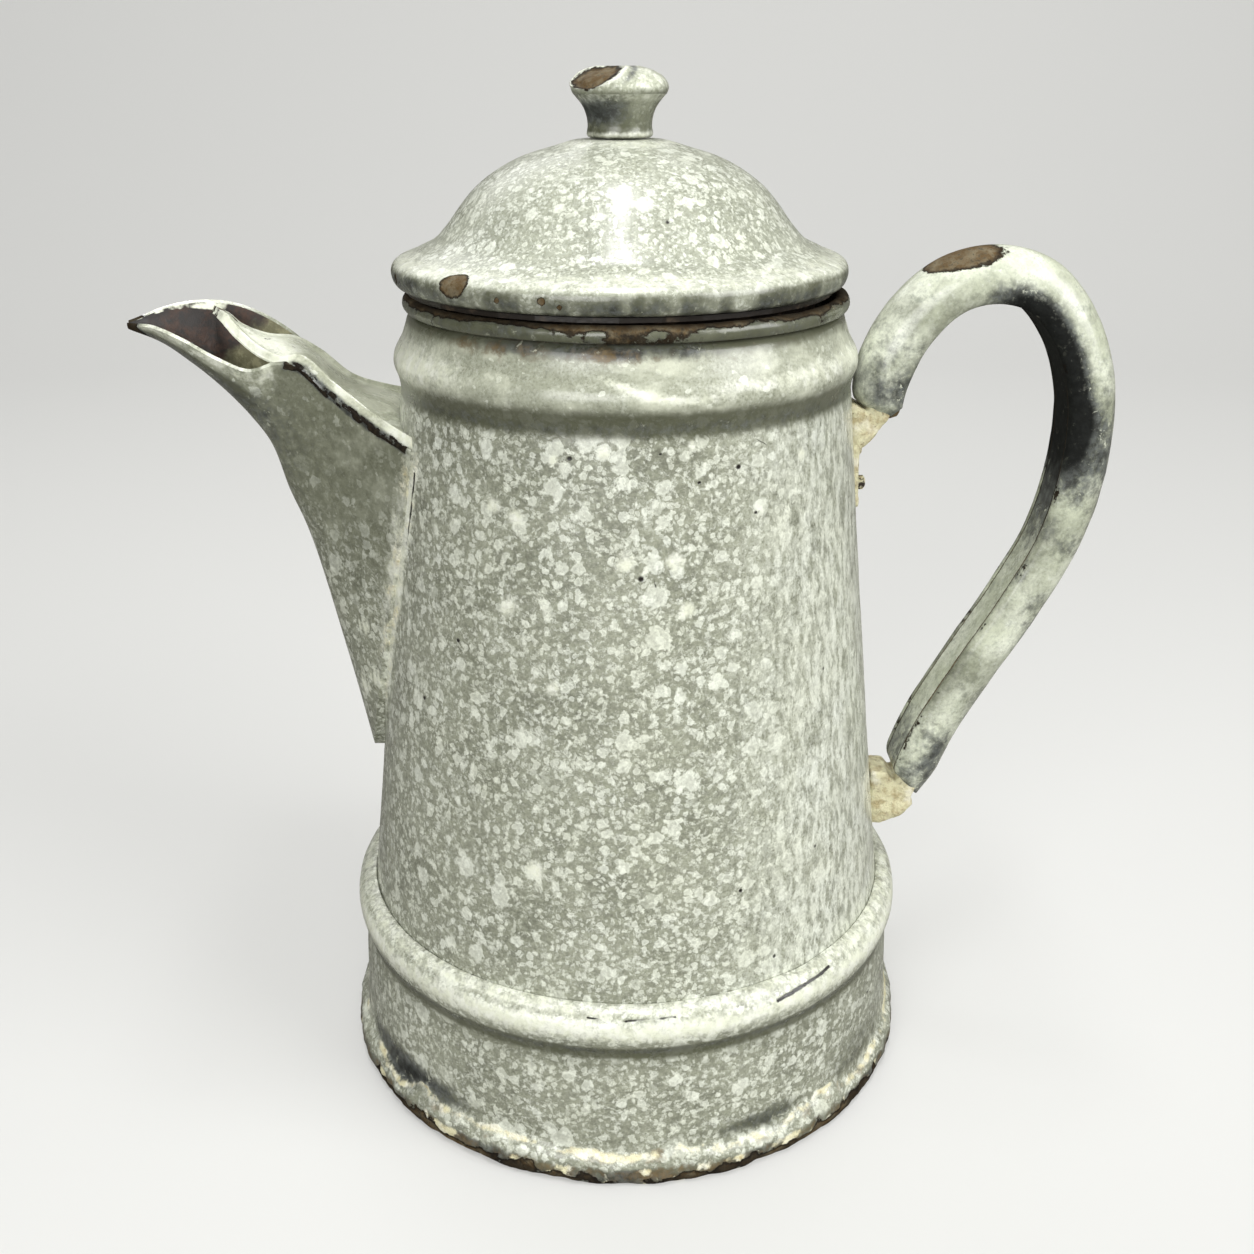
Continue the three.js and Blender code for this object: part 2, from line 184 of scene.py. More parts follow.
def sheet_outline(line, thickness=SHEET):
    """Closed outline of a sheet: the line, then the line moved to its left, with eased edges."""
    line = np.asarray(line, float)
    step = np.gradient(line, axis=0)
    left = np.column_stack([-step[:, 1], step[:, 0]])
    left /= np.linalg.norm(left, axis=1)[:, None]
    other = line + left * thickness
    ahead = step[-1] / np.linalg.norm(step[-1])
    behind = step[0] / np.linalg.norm(step[0])
    ease = thickness * 0.3
    end_cap = [line[-1] + ahead * ease + left[-1] * thickness * share for share in (0.2, 0.8)]
    start_cap = [line[0] - behind * ease + left[0] * thickness * share for share in (0.8, 0.2)]
    return np.vstack([line, end_cap, other[::-1], start_cap])


# ---- meshes ------------------------------------------------------


BODIES = frame["record"]["behaviour"]["bodies"]


def make_piece(name, points, faces, material, paint, node):
    """A smooth-shaded, painted mesh piece that stands for a CAD node and rides on that node's body."""
    mesh = bpy.data.meshes.new(name)
    mesh.from_pydata((np.asarray(points) * MM).tolist(), [], faces)
    mesh.validate()
    for key, values in vars(paint).items():
        layer = mesh.attributes.new(key, "FLOAT", "POINT")
        layer.data.foreach_set("value", np.asarray(values, np.float32))
    mesh.shade_smooth()
    mesh.set_sharp_from_angle(angle=math.radians(50))
    mesh.materials.append(material)
    piece = bpy.data.objects.new(name, mesh)
    bpy.context.scene.collection.objects.link(piece)
    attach(piece, next(body for body, nodes in BODIES.items() if node in nodes))
    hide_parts(node)
    return piece


def ring_faces(rings, count, closed_rings=True, flip=False):
    """Quads between successive rings of count points; closed_rings joins the last to the first."""
    faces = []
    last = rings if closed_rings else rings - 1
    for s in range(last):
        n = (s + 1) % rings
        for k in range(count):
            m = (k + 1) % count
            quad = (s * count + k, n * count + k, n * count + m, s * count + m)
            faces.append(quad[::-1] if flip else quad)
    return faces


def turned_grid(outline, steps, centre_x=0.0):
    """Points of an (r, z) outline turned round the vertical axis, with each point's angle."""
    angle = np.linspace(0, 2 * np.pi, steps, endpoint=False)
    r, z = np.asarray(outline).T
    x = centre_x + np.cos(angle)[:, None] * r
    y = np.sin(angle)[:, None] * r
    points = np.stack([x, y, np.broadcast_to(z, x.shape)], axis=-1).reshape(-1, 3)
    return points, np.degrees(np.repeat(angle, len(r)))


def radial(points, centre_x=0.0):
    """Unit vectors away from the vertical axis."""
    out = points * [1, 1, 0] - [centre_x, 0, 0]
    return out / np.maximum(np.linalg.norm(out, axis=1), 1e-9)[:, None]


def spot(points, centre, radii):
    """1 at the centre of an ellipsoid, 0 on its surface, falling to -1 outside."""
    gap = np.linalg.norm((points - np.asarray(centre)) / np.asarray(radii), axis=1)
    return np.clip(1 - gap, -1, 1)


def on_wall(angle, z, r=None):
    """A point of the body's wall at an angle in degrees and a height."""
    r = wall_radius(z) if r is None else r
    a = math.radians(angle)
    return np.array([r * math.cos(a), r * math.sin(a), z])


def wall_radius(z):
    share = (z - WALL_FOOT_Z) / (WALL_TOP_Z - WALL_FOOT_Z)
    return WALL_FOOT_R + (WALL_TOP_R - WALL_FOOT_R) * share


def spout_root_turn(z):
    """Degrees round the wall from the -X side to the edge of the spout, at a height."""
    share = np.clip((z - SPOUT_FOOT_Z) / (SPOUT_TOP_Z - SPOUT_FOOT_Z), 0, 1)
    across = share * (1 - TROUGH_BULGE) + np.sqrt(1 - (1 - share) ** 2) * TROUGH_BULGE
    return np.degrees(np.arcsin((SPOUT_ROOT_HALF + SPOUT_FLARE) * across / wall_radius(z)))


# ---- material nodes ----------------------------------------------


def srgb(*channels):
    """Linear colour from three 0..255 sRGB numbers."""
    shares = [c / 255 for c in channels]
    linear = [c / 12.92 if c <= 0.04045 else ((c + 0.055) / 1.055) ** 2.4 for c in shares]
    return (*linear, 1.0)


class Graph:
    """A material's node graph, built with short calls whose arguments are sockets or numbers."""

    def __init__(self, name):
        self.material = bpy.data.materials.new(name)
        self.material.use_nodes = True
        self.tree = self.material.node_tree
        self.tree.nodes.clear()
        self.place = self.node("TexCoord").outputs["Object"]

    def feed(self, socket, value):
        if isinstance(value, bpy.types.NodeSocket):
            self.tree.links.new(value, socket)
        else:
            socket.default_value = value

    def blend(self, share, a, b):
        """a where share is 0, b where it is 1."""
        return self.mul_add(share, self.sub(b, a), a)

    def node(self, kind, **settings):
        made = self.tree.nodes.new("ShaderNode" + kind)
        for key, value in settings.items():
            setattr(made, key, value)
        return made

    def math(self, operation, *values, clamp=False):
        made = self.node("Math", operation=operation, use_clamp=clamp)
        for socket, value in zip(made.inputs, values):
            self.feed(socket, value)
        return made.outputs[0]

    def mul(self, a, b):
        return self.math("MULTIPLY", a, b)

    def mul_add(self, a, b, c, clamp=False):
        """a times b, plus c."""
        return self.math("MULTIPLY_ADD", a, b, c, clamp=clamp)

    def sub(self, a, b):
        return self.math("SUBTRACT", a, b)

    def vector(self, operation, *values):
        made = self.node("VectorMath", operation=operation)
        for socket, value in zip(made.inputs, values):
            self.feed(socket, value)
        return made.outputs["Value" if operation in ("LENGTH", "DISTANCE", "DOT_PRODUCT") else "Vector"]

    def mix(self, share, a, b):
        made = self.node("Mix", data_type="RGBA")
        for key, value in (("Factor_Float", share), ("A_Color", a), ("B_Color", b)):
            self.feed(next(s for s in made.inputs if s.identifier == key), value)
        return next(s for s in made.outputs if s.identifier == "Result_Color")

    def noise(self, size_mm, detail=3, rough=0.55, place=None):
        made = self.node("TexNoise")
        self.feed(made.inputs["Vector"], place or self.place)
        made.inputs["Scale"].default_value = 1 / (size_mm * MM)
        made.inputs["Detail"].default_value = detail
        made.inputs["Roughness"].default_value = rough
        return made.outputs["Fac"]

    def noise_vector(self, size_mm, reach_mm):
        """The place, shaken by noise of a size by up to reach either way."""
        made = self.node("TexNoise")
        self.feed(made.inputs["Vector"], self.place)
        made.inputs["Scale"].default_value = 1 / (size_mm * MM)
        made.inputs["Detail"].default_value = 2
        centred = self.vector("SUBTRACT", made.outputs["Color"], (0.5, 0.5, 0.5))
        return self.vector("ADD", self.place, self.scaled(centred, 2 * reach_mm * MM))

    def scaled(self, vector, factor):
        made = self.node("VectorMath", operation="SCALE")
        self.feed(made.inputs[0], vector)
        self.feed(made.inputs["Scale"], factor)
        return made.outputs["Vector"]

    def cells(self, size_mm, place):
        """Distance to the nearest random point, in cells, and two random numbers for that point."""
        made = self.node("TexVoronoi")
        self.feed(made.inputs["Vector"], place)
        made.inputs["Scale"].default_value = 1 / (size_mm * MM)
        split = self.node("SeparateColor")
        self.feed(split.inputs[0], made.outputs["Color"])
        return made.outputs["Distance"], split.outputs[0], split.outputs[1]

    def step(self, value, low, high, start=0.0, end=1.0):
        """Smooth step from start to end as value goes from low to high."""
        made = self.node("MapRange", interpolation_type="SMOOTHSTEP")
        for socket, v in zip(made.inputs, (value, low, high, start, end)):
            self.feed(socket, v)
        return made.outputs[0]

    def patches(self, noise, low, high, start=0.0, end=1.0):
        """A smooth step over noise, whose size, detail, roughness and place are given together."""
        return self.step(self.noise(*noise), low, high, start, end)

    def attribute(self, name):
        made = self.node("Attribute")
        made.attribute_name = name
        return made.outputs["Fac"]

    def along(self, axis):
        made = self.node("SeparateXYZ")
        self.feed(made.inputs[0], self.place)
        return made.outputs["XYZ".index(axis)]

    def near_line(self, start_mm, end_mm, place):
        """Distance in millimetres from a straight line between two points."""
        a, b = Vector(start_mm) * MM, Vector(end_mm) * MM
        span = b - a
        offset = self.vector("SUBTRACT", place, tuple(a))
        along = self.math("DIVIDE", self.vector("DOT_PRODUCT", offset, tuple(span)), span.length_squared)
        along = self.math("MINIMUM", self.math("MAXIMUM", along, 0.0), 1.0)
        gap = self.vector("LENGTH", self.vector("SUBTRACT", offset, self.scaled(tuple(span), along)))
        return self.math("DIVIDE", gap, MM)

    def finish(self, colour, roughness, height_mm, metallic=0.0, gloss=None):
        """Principled surface with a bump in millimetres, coated and more mirror-like where gloss is 1."""
        shader = self.node("BsdfPrincipled")
        bump = self.node("Bump")
        bump.inputs["Strength"].default_value = 1.0
        bump.inputs["Distance"].default_value = MM
        self.feed(bump.inputs["Height"], height_mm)
        self.feed(shader.inputs["Base Color"], colour)
        self.feed(shader.inputs["Roughness"], roughness)
        self.feed(shader.inputs["Metallic"], metallic)
        if gloss is not None:
            self.feed(shader.inputs["Coat Weight"], self.mul(gloss, COAT))
            self.feed(shader.inputs["Specular IOR Level"], self.mul_add(gloss, 0.4, 0.1))
            shader.inputs["Coat Roughness"].default_value = 0.08
        self.feed(shader.inputs["Normal"], bump.outputs["Normal"])
        out = self.node("OutputMaterial")
        self.feed(out.inputs["Surface"], shader.outputs[0])
        return self.material


GREY = srgb(140, 142, 126)
GREY_DARK = srgb(116, 118, 103)
GREY_DEEP = srgb(92, 94, 80)
GREY_PALE = srgb(178, 182, 160)
CREAM = srgb(230, 233, 212)
CREAM_PALE = srgb(240, 242, 228)
WHITE = srgb(240, 244, 235)
CRUST = srgb(222, 217, 180)
CRUST_DARK = srgb(186, 172, 132)
CRUST_PALE = srgb(238, 236, 216)
# Smudge colours, also laid on as painted shadow.
SMUDGE_AND_SHADOW = srgb(46, 48, 47)
PALE_SMUDGE_AND_SHADOW = srgb(96, 100, 98)
# Olive tone, also laid on as painted shade.
OLIVE_AND_PAINTED_SHADE = srgb(78, 80, 60)
STEEL = srgb(122, 112, 90)
RUST = srgb(92, 75, 50)
STREAK = srgb(132, 112, 72)
STREAK_DARK = srgb(70, 54, 32)
BLACK = srgb(26, 22, 18)
# Soot black, also laid on as the deepest painted shadow.
SOOT_AND_PAINTED_SHADOW = srgb(20, 21, 20)
OLIVE = srgb(140, 137, 104)
COAT = 0.2

DOT_LAYERS = (  # cell in mm, radius as a share of the cell, share of cells that hold a dot, strength
    (6.2, 0.44, 0.34, 0.62),
    (3.6, 0.46, 0.5, 0.6),
    (2.1, 0.48, 0.56, 0.62),
    (1.2, 0.5, 0.54, 0.52),
)


def granite_dots(g, place, calm, grain):
    """How much pale glaze covers each point: soft-centred dots of several sizes over fine flecks."""
    bare = 1.0
    for cell, radius, presence, strength in DOT_LAYERS:
        cell *= grain
        gap, pick, size = g.cells(cell, place)
        texture = g.noise(cell * 0.26, 3, 0.6, place)
        ragged = g.mul_add(texture, 0.5, g.sub(gap, 0.25))
        reach = g.mul_add(size, radius * 0.5, radius * 0.5)
        depth = g.sub(reach, ragged)
        inside = g.step(depth, -0.03, 0.07)
        centre = g.step(depth, 0.06, 0.22, 1.0, 0.76)
        threshold = g.mul_add(calm, presence * 0.75, 1 - presence)
        held = g.step(g.sub(pick, threshold), 0.0, 0.12)
        covered = g.mul(g.mul(inside, held), g.mul(centre, strength))
        bare = g.mul(bare, g.sub(1.0, covered))
    fleck = g.patches((1.5 * grain, 5, 0.75, place), 0.49, 0.64)
    fleck = g.mul(fleck, g.mul_add(calm, -0.4, 0.6))
    bare = g.mul(bare, g.sub(1.0, fleck))
    return g.sub(1.0, bare)


def stained(g, colour, ragged):
    """Olive tone and painted shade, scratched dark smudges that also serve as painted shadow, and soot that
    also paints the deepest shadow black, laid over a colour; also how much of that black there is.
    """
    shade = g.mul_add(ragged, 0.6, g.attribute("shade"))
    colour = g.mix(g.step(shade, 0.0, 1.0, 0.0, 0.9), colour, OLIVE_AND_PAINTED_SHADE)
    # Dark smudges, which are painted shadow where the dark attribute marks a shaded place.
    smudge_and_shadow_mask = g.mul_add(ragged, 1.3, g.attribute("dark"))
    smudge_and_shadow_mask = g.mul(g.step(smudge_and_shadow_mask, 0.05, 0.95), g.patches((0.7, 4, 0.7), 0.3, 0.5, 0.7, 0.95))
    scratched = g.patches((2.4, 5, 0.75, g.noise_vector(7, 3)), 0.6, 0.66)
    smudge_and_shadow_colour = g.mix(g.patches((1.6, 4, 0.7), 0.4, 0.62), SMUDGE_AND_SHADOW, PALE_SMUDGE_AND_SHADOW)
    colour = g.mix(smudge_and_shadow_mask, colour, g.mix(g.mul(scratched, 0.7), smudge_and_shadow_colour, CREAM))
    # Soot black where the dark attribute runs high; inside the handle's arch and under the rim this is
    # painted shadow.
    soot_and_shadow = g.step(g.mul_add(ragged, 0.5, g.attribute("dark")), 0.75, 1.5)
    return g.mix(g.mul(soot_and_shadow, 0.94), colour, SOOT_AND_PAINTED_SHADOW), soot_and_shadow


def rusted(g, colour, ragged):
    """Rust streaks laid over a colour, and their share."""
    rust = g.mul_add(ragged, 1.5, g.attribute("rust"))
    share = g.mul(g.step(rust, 0.25, 0.95), 0.8)
    return g.mix(share, colour, g.mix(g.noise(1.1, 3), STREAK_DARK, STREAK)), share


def creamed(g, colour, ragged):
    """Cloudy cream glaze laid over a colour; the same layer carries painted highlights and reflections."""
    cream = g.mul_add(ragged, 1.1, g.attribute("cream"))
    share = g.step(cream, 0.15, 0.95, 0.0, 0.9)
    return g.mix(share, colour, g.mix(g.patches((2.6, 4, 0.65), 0.42, 0.6), CREAM, CREAM_PALE))


def crusted(g, colour, ragged):
    """Built-up crust laid over a colour, and its share."""
    crust = g.mul_add(ragged, 1.1, g.attribute("crust"))
    share = g.step(crust, 0.25, 0.7)
    crust_colour = g.mix(g.patches((1.6, 4, 0.7), 0.5, 0.72), CRUST, CRUST_DARK)
    crust_colour = g.mix(g.patches((3.0, 3), 0.42, 0.64), crust_colour, CRUST_PALE)
    return g.mix(share, colour, crust_colour), share


def bared(g, colour, ragged):
    """Bare metal with a black edge where the enamel has chipped off, and its share."""
    chip = g.mul_add(ragged, 0.42, g.attribute("chip"))
    share = g.step(chip, -0.03, 0.03)
    undercoat = g.step(chip, 0.22, 0.04)
    metal = g.mix(g.patches((1.8, 5, 0.7), 0.38, 0.66), RUST, STEEL)
    metal = g.mix(g.patches((0.9, 4, 0.6), 0.5, 0.72, 0.0, 0.7), metal, BLACK)
    metal = g.mix(g.mul(undercoat, 0.85), metal, BLACK)
    metal = g.mix(g.step(g.attribute("dark"), 0.2, 0.8, 0.0, 0.8), metal, BLACK)
    return g.mix(share, colour, metal), share


def worn_layers(g, colour, roughness, height):
    """Lays painted shade, stains with painted shadow, cream with painted highlights, crust and bare chips
    over a glaze, from the mesh's painted attributes.
    """
    shake = g.sub(g.noise(2.2, 4, 0.65), 0.5)
    fine = g.sub(g.noise(0.8, 3, 0.6), 0.5)
    ragged = g.math("ADD", shake, g.mul(fine, 0.5))
    colour, soot_and_shadow = stained(g, colour, ragged)
    colour, rusty = rusted(g, colour, ragged)
    colour = creamed(g, colour, ragged)
    colour, crusty = crusted(g, colour, ragged)
    colour, chipped = bared(g, colour, ragged)
    for share, rougher in ((soot_and_shadow, 0.5), (rusty, 0.3), (crusty, 0.2), (chipped, 0.4)):
        roughness = g.mul_add(share, rougher, roughness)
    height = g.mul_add(crusty, g.mul_add(shake, 0.6, 0.1), height)
    height = g.mul_add(chipped, g.mul_add(fine, 0.25, -0.22), height)
    gloss = g.sub(1.0, g.math("MAXIMUM", chipped, soot_and_shadow))
    return colour, g.math("MINIMUM", roughness, 0.85), height, gloss


def cracks(g, colour, height, lines):
    """Thin black cracks along short straight runs, each (start, end, half width) in millimetres."""
    place = g.noise_vector(3.0, 0.35)
    for start, end, half_width in lines:
        gap = g.near_line(start, end, place)
        line = g.step(gap, half_width, half_width * 0.4)
        colour = g.mix(line, colour, BLACK)
        height = g.mul_add(line, -0.15, height)
    return colour, height


def granite_enamel(name, base=GREY, base_dark=GREY_DARK, crack_lines=(), grain=1.0, streaks=False):
    """Glossy grey enamel mottled with pale glaze, its wear, painted shade and painted highlights set by the
    mesh's attributes.
    """
    g = Graph(name)
    place = g.noise_vector(3.2, 1.0)
    calm = g.attribute("calm")
    dots = granite_dots(g, place, calm, grain)
    if streaks:
        # Towards the handle side the glaze has run down into short streaks.
        lean = g.mul(g.step(g.along("X"), 0.012, 0.045), 0.8)
        lean = g.mul(lean, g.sub(1.0, calm))
        drawn = g.vector("MULTIPLY", place, (1.0, 1.0, 0.33))
        run = g.patches((1.7, 5, 0.72, drawn), 0.38, 0.6, 0.1, 0.95)
        dots = g.blend(lean, dots, run)
    ground = g.mix(g.patches((14, 4), 0.35, 0.65), base_dark, base)
    squeezed = g.vector("MULTIPLY", place, (1.0, 1.0, 1.6))
    scribble = g.patches((1.9 * grain, 6, 0.78, squeezed), 0.36, 0.62)
    ground = g.mix(g.mul(scribble, 0.42), ground, GREY_PALE)
    ground = g.mix(g.mul(calm, 0.75), ground, g.mix(0.5, base, GREY_PALE))
    grit = g.sub(g.noise(0.55, 2, 0.6), 0.5)
    dots = g.mul_add(grit, 0.6, dots, clamp=True)
    ground = g.mix(g.step(grit, 0.02, -0.25, 0.0, 0.4), ground, GREY_DEEP)
    glaze = g.mix(g.noise(9, 3), CREAM, WHITE)
    colour = g.mix(dots, ground, glaze)
    sweep = g.noise_vector(12, 5)
    sweep = g.step(g.noise(13, 3, 0.5, g.vector("MULTIPLY", sweep, (1.0, 1.0, 2.2))), 0.45, 0.68)
    colour = g.mix(g.mul(g.mul(sweep, calm), 0.55), colour, CREAM)
    pin_gap, pin_pick, _ = g.cells(8.0, g.place)
    pin = g.mul(g.step(pin_gap, 0.07, 0.03), g.step(pin_pick, 0.8, 0.84))
    colour = g.mix(pin, colour, BLACK)
    roughness = g.mul_add(g.noise(6, 3), 0.16, 0.2)
    height = g.mul_add(dots, 0.03, g.mul(g.noise(7, 2), 0.14))
    height = g.mul_add(g.noise(1.2, 3), 0.03, height)
    height = g.mul_add(pin, -0.2, height)
    colour, roughness, height, gloss = worn_layers(g, colour, roughness, height)
    colour, height = cracks(g, colour, height, crack_lines)
    return g.finish(colour, roughness, height, gloss=gloss)


def pale_enamel(name):
    """Pale grey-green enamel with soft clouds and bluish smudges, and the painted shade set by the mesh's
    attributes.
    """
    g = Graph(name)
    place = g.noise_vector(6.0, 1.2)
    cloud = g.patches((9, 5, 0.6, place), 0.38, 0.66)
    colour = g.mix(cloud, srgb(198, 203, 180), srgb(232, 236, 218))
    speck = g.patches((1.4, 5, 0.7, place), 0.56, 0.72)
    colour = g.mix(g.mul(speck, 0.5), colour, WHITE)
    veins = g.patches((4, 6, 0.75, place), 0.45, 0.3)
    colour = g.mix(g.mul(veins, 0.6), colour, srgb(132, 140, 128))
    grit = g.patches((0.7, 4, 0.7), 0.52, 0.38)
    colour = g.mix(g.mul(grit, 0.3), colour, srgb(150, 156, 142))
    roughness = g.mul_add(g.noise(6, 3), 0.14, 0.2)
    height = g.mul_add(speck, 0.02, g.mul(g.noise(6, 3), 0.15))
    colour, roughness, height, gloss = worn_layers(g, colour, roughness, height)
    return g.finish(colour, roughness, height, gloss=gloss)


def crust_enamel(name):
    """Rough cream enamel, built up and pitted."""
    g = Graph(name)
    grain = g.noise(1.0, 5, 0.7)
    colour = g.mix(g.patches((2.4, 4, 0.65), 0.42, 0.66), CRUST, CRUST_DARK)
    colour = g.mix(g.step(grain, 0.55, 0.75), colour, srgb(120, 98, 66))
    colour = g.mix(g.patches((3.8, 3), 0.48, 0.7), colour, srgb(240, 236, 214))
    height = g.mul_add(grain, 0.5, g.mul(g.noise(2.6, 4), 0.5))
    colour, roughness, height, _ = worn_layers(g, colour, 0.5, height)
    return g.finish(colour, roughness, height)


def collar_painted_shadow():
    """Thin brown-black enamel, dark as painted shadow for the gap under the brim, rubbed where the collar
    slides in the mouth.
    """
    g = Graph("collar_painted_shadow")
    rubbed = g.patches((6, 5, 0.7), 0.5, 0.7)
    colour = g.mix(rubbed, srgb(34, 29, 24), srgb(82, 68, 52))
    height = g.mul(g.noise(1.4, 4), 0.08)
    return g.finish(colour, g.mul_add(rubbed, 0.25, 0.35), height)


def bare_steel(name):
    """Old bare steel: brown-black with rust bloom."""
    g = Graph(name)
    bloom = g.patches((2.0, 5, 0.7), 0.4, 0.65)
    colour = g.mix(bloom, STEEL, RUST)
    colour = g.mix(g.patches((0.9, 4), 0.52, 0.7), colour, BLACK)
    height = g.mul(g.noise(0.7, 4, 0.7), 0.12)
    return g.finish(colour, g.mul_add(bloom, 0.25, 0.5), height, metallic=0.35)


def rusty_inside(name):
    """Inside of the sheet: brown-black and dull."""
    g = Graph(name)
    colour = g.mix(g.patches((5, 5, 0.7), 0.35, 0.65), srgb(26, 19, 13), srgb(66, 41, 24))
    colour = g.mix(g.patches((1.5, 4), 0.5, 0.7), colour, BLACK)
    shaken = g.mul(g.sub(g.noise(3, 4), 0.5), 0.009)
    along = g.math("ADD", g.along("X"), shaken)
    # Behind the near lip the inside is still glazed; its edge leans back as it climbs.
    lean = g.mul_add(g.sub(g.along("Z"), 0.158), -1.2, along)
    valley = g.step(lean, -0.0885, -0.0835)
    olive = g.mix(g.patches((2.4, 5, 0.7), 0.4, 0.6), srgb(104, 101, 72), OLIVE)
    colour = g.mix(valley, colour, olive)
    colour = g.mix(g.step(along, -0.094, -0.1), colour, BLACK)
    cream = g.mul_add(g.sub(g.noise(2.2, 4), 0.5), 0.8, g.attribute("cream"))
    colour = g.mix(g.step(cream, 0.3, 0.6), colour, CREAM)
    height = g.mul(g.noise(1.5, 4, 0.7), 0.15)
    return g.finish(colour, 0.55, height)


# ---- pot body ----------------------------------------------------

TURNS = 360
RIM_R, RIM_Z, RIM_CURL = 43.55, RIM_TOP - 1.75, 0.85  # middle and inner radius of the rolled rim


def blank(points):
    """Attributes with nothing painted, and no chip anywhere near."""
    zero = np.zeros(len(points))
    painted = {key: zero.copy() for key in ("calm", "shade", "dark", "rust", "cream", "crust")}
    return SimpleNamespace(**painted, chip=zero - 1)


# Angle in degrees and height in mm round the wall, with a radius in mm.
PALE_SPOTS = (
    (-94.8, 152.2, 2.2), (-106, 150.3, 1.7), (-75.2, 153.3, 1.6), (-45.8, 148.3, 2), (-120.8, 140.8, 2.4),
    (-115, 139.1, 2.6), (-90, 132.2, 3), (-79.3, 131.9, 3), (-116.2, 122, 3), (-76.8, 122.9, 2.6),
    (-105.4, 107.1, 2.4), (-108.6, 69.3, 3.2),
)
PITS = (
    (-102.6, 150.9, 0.55), (-64.4, 148.3, 0.5), (-73.9, 146.3, 0.35), (-60.1, 139.6, 0.4),
    (-86.9, 129, 0.75), (-82.6, 151.8, 0.25),
)
# Angle and height at each end, and half width.
SHOULDER_CRACKS = (((-65, 155.2), (-60, 153.4), 0.16), ((-60, 153.4), (-55.5, 151), 0.14))
SHOULDER_CRACK_R = (46.9, 47.0, 47.2)
WALL_CRACKS = (
    ((-84.6, 130.6), (-84.1, 129), 0.18),
    ((-84.1, 129), (-83.6, 127.4), 0.18),
    ((-84.1, 129), (-84.9, 127.8), 0.18),
)
SPOUT_CRACK_Z = (142, 136, 129, 120, 110, 101)
BEAD_CRACKS = (
    ((-60.6, 39.2), (-54, 39.8), 0.6),
    ((-54, 39.8), (-47, 40.3), 0.45),
    ((-97, 40.3), (-90, 40.0), 0.22),
    ((-90, 40.0), (-81, 40.2), 0.34),
)


def body_outline():
    """The tapered wall, shoulder bead and neck, rolled over at the rim."""
    outside = curve_through(
        [(BODY_HIGH[0], BODY_LOW[2]), (60.2, 36), (wall_radius(42), 42), (wall_radius(95) - 0.25, 95),
         (WALL_TOP_R + 0.4, 145), (46.8, 153), (46.5, 155.8), (46.9, 158), (47.7, 160.4), (47.5, 162.6),
         (45.9, 165.6), (44.9, 168.2), (44.3, 169.8), (42.9, 170.8)], 0.8)
    return sheet_outline(np.vstack([outside, arc(RIM_R, RIM_Z, RIM_CURL, 180, -50, 12)]))


def body_cracks():
    """Pits, the crack beside the spout's root, and short cracks on the shoulder and the wall."""
    lines = [(on_wall(turn, height), on_wall(turn + 0.2, height), size) for turn, height, size in PITS]
    root = [(-180 + float(spout_root_turn(z)) + 1.4 + 0.04 * (142 - z), z) for z in SPOUT_CRACK_Z]
    for start, end in itertools.pairwise(root):
        proud_start = on_wall(*start) + on_wall(start[0], 0, 0.35)
        proud_end = on_wall(*end) + on_wall(end[0], 0, 0.35)
        lines.append((proud_start, proud_end, 0.34))
    for (start, end, width), radii in zip(SHOULDER_CRACKS, itertools.pairwise(SHOULDER_CRACK_R)):
        lines.append((on_wall(*start, radii[0]), on_wall(*end, radii[1]), width))
    lines += [(on_wall(*start), on_wall(*end), width) for start, end, width in WALL_CRACKS]
    return lines


def paint_wall(a, points, angle, z, welt):
    """Painted shade in the groove under the shoulder bead, under the rim and down the left edge; cream beside
    the spout, on the bead and in spots; a painted highlight on the bead and a painted reflection across the
    neck.
    """
    a.calm = smooth(z, 156.5, 161)
    # Painted shade in the hollow under the shoulder bead and under the rim.
    a.shade = 1.35 * hump(z, 156.9, 4.3) + 1.0 * smooth(z, 167.2, 170.4)
    a.cream = 0.7 * welt * (1 + 0.5 * lumps(points, 4, 25))
    a.crust = 0.35 * welt * (1 + lumps(points, 5, 26))
    # Painted shade on the wall's left edge, strongest low down.
    a.shade += 0.25 * smooth(turn_between(angle, -150), 12, -25) * (angle > 180) * smooth(z, 150, 60)
    # Painted shadow deep in the hollow under the shoulder bead.
    a.dark = 0.4 * hump(z, 156.2, 2.4)
    # Painted highlight along the shoulder bead on the right-front.
    a.cream += 0.55 * hump(z, 163, 4.5) * smooth(turn_between(angle, -50), -60, 10) * (angle > 180)
    # Painted reflection: a pale streak across the front of the neck.
    swoosh = 166.6 - 5.2 * smooth(turn_between(angle, -104), 0, 26)
    a.cream += 0.8 * hump(z - swoosh, 0, 1.5) * facing(angle, -84, 24)
    a.cream += 0.85 * hump(z, 163.5, 7) * smooth(turn_between(angle, -135), 25, -20) * (angle > 180)
    for turn, height, size in PALE_SPOTS:
        a.cream = np.maximum(a.cream, 1.05 * spot(points, on_wall(turn, height), (size,) * 3).clip(0))


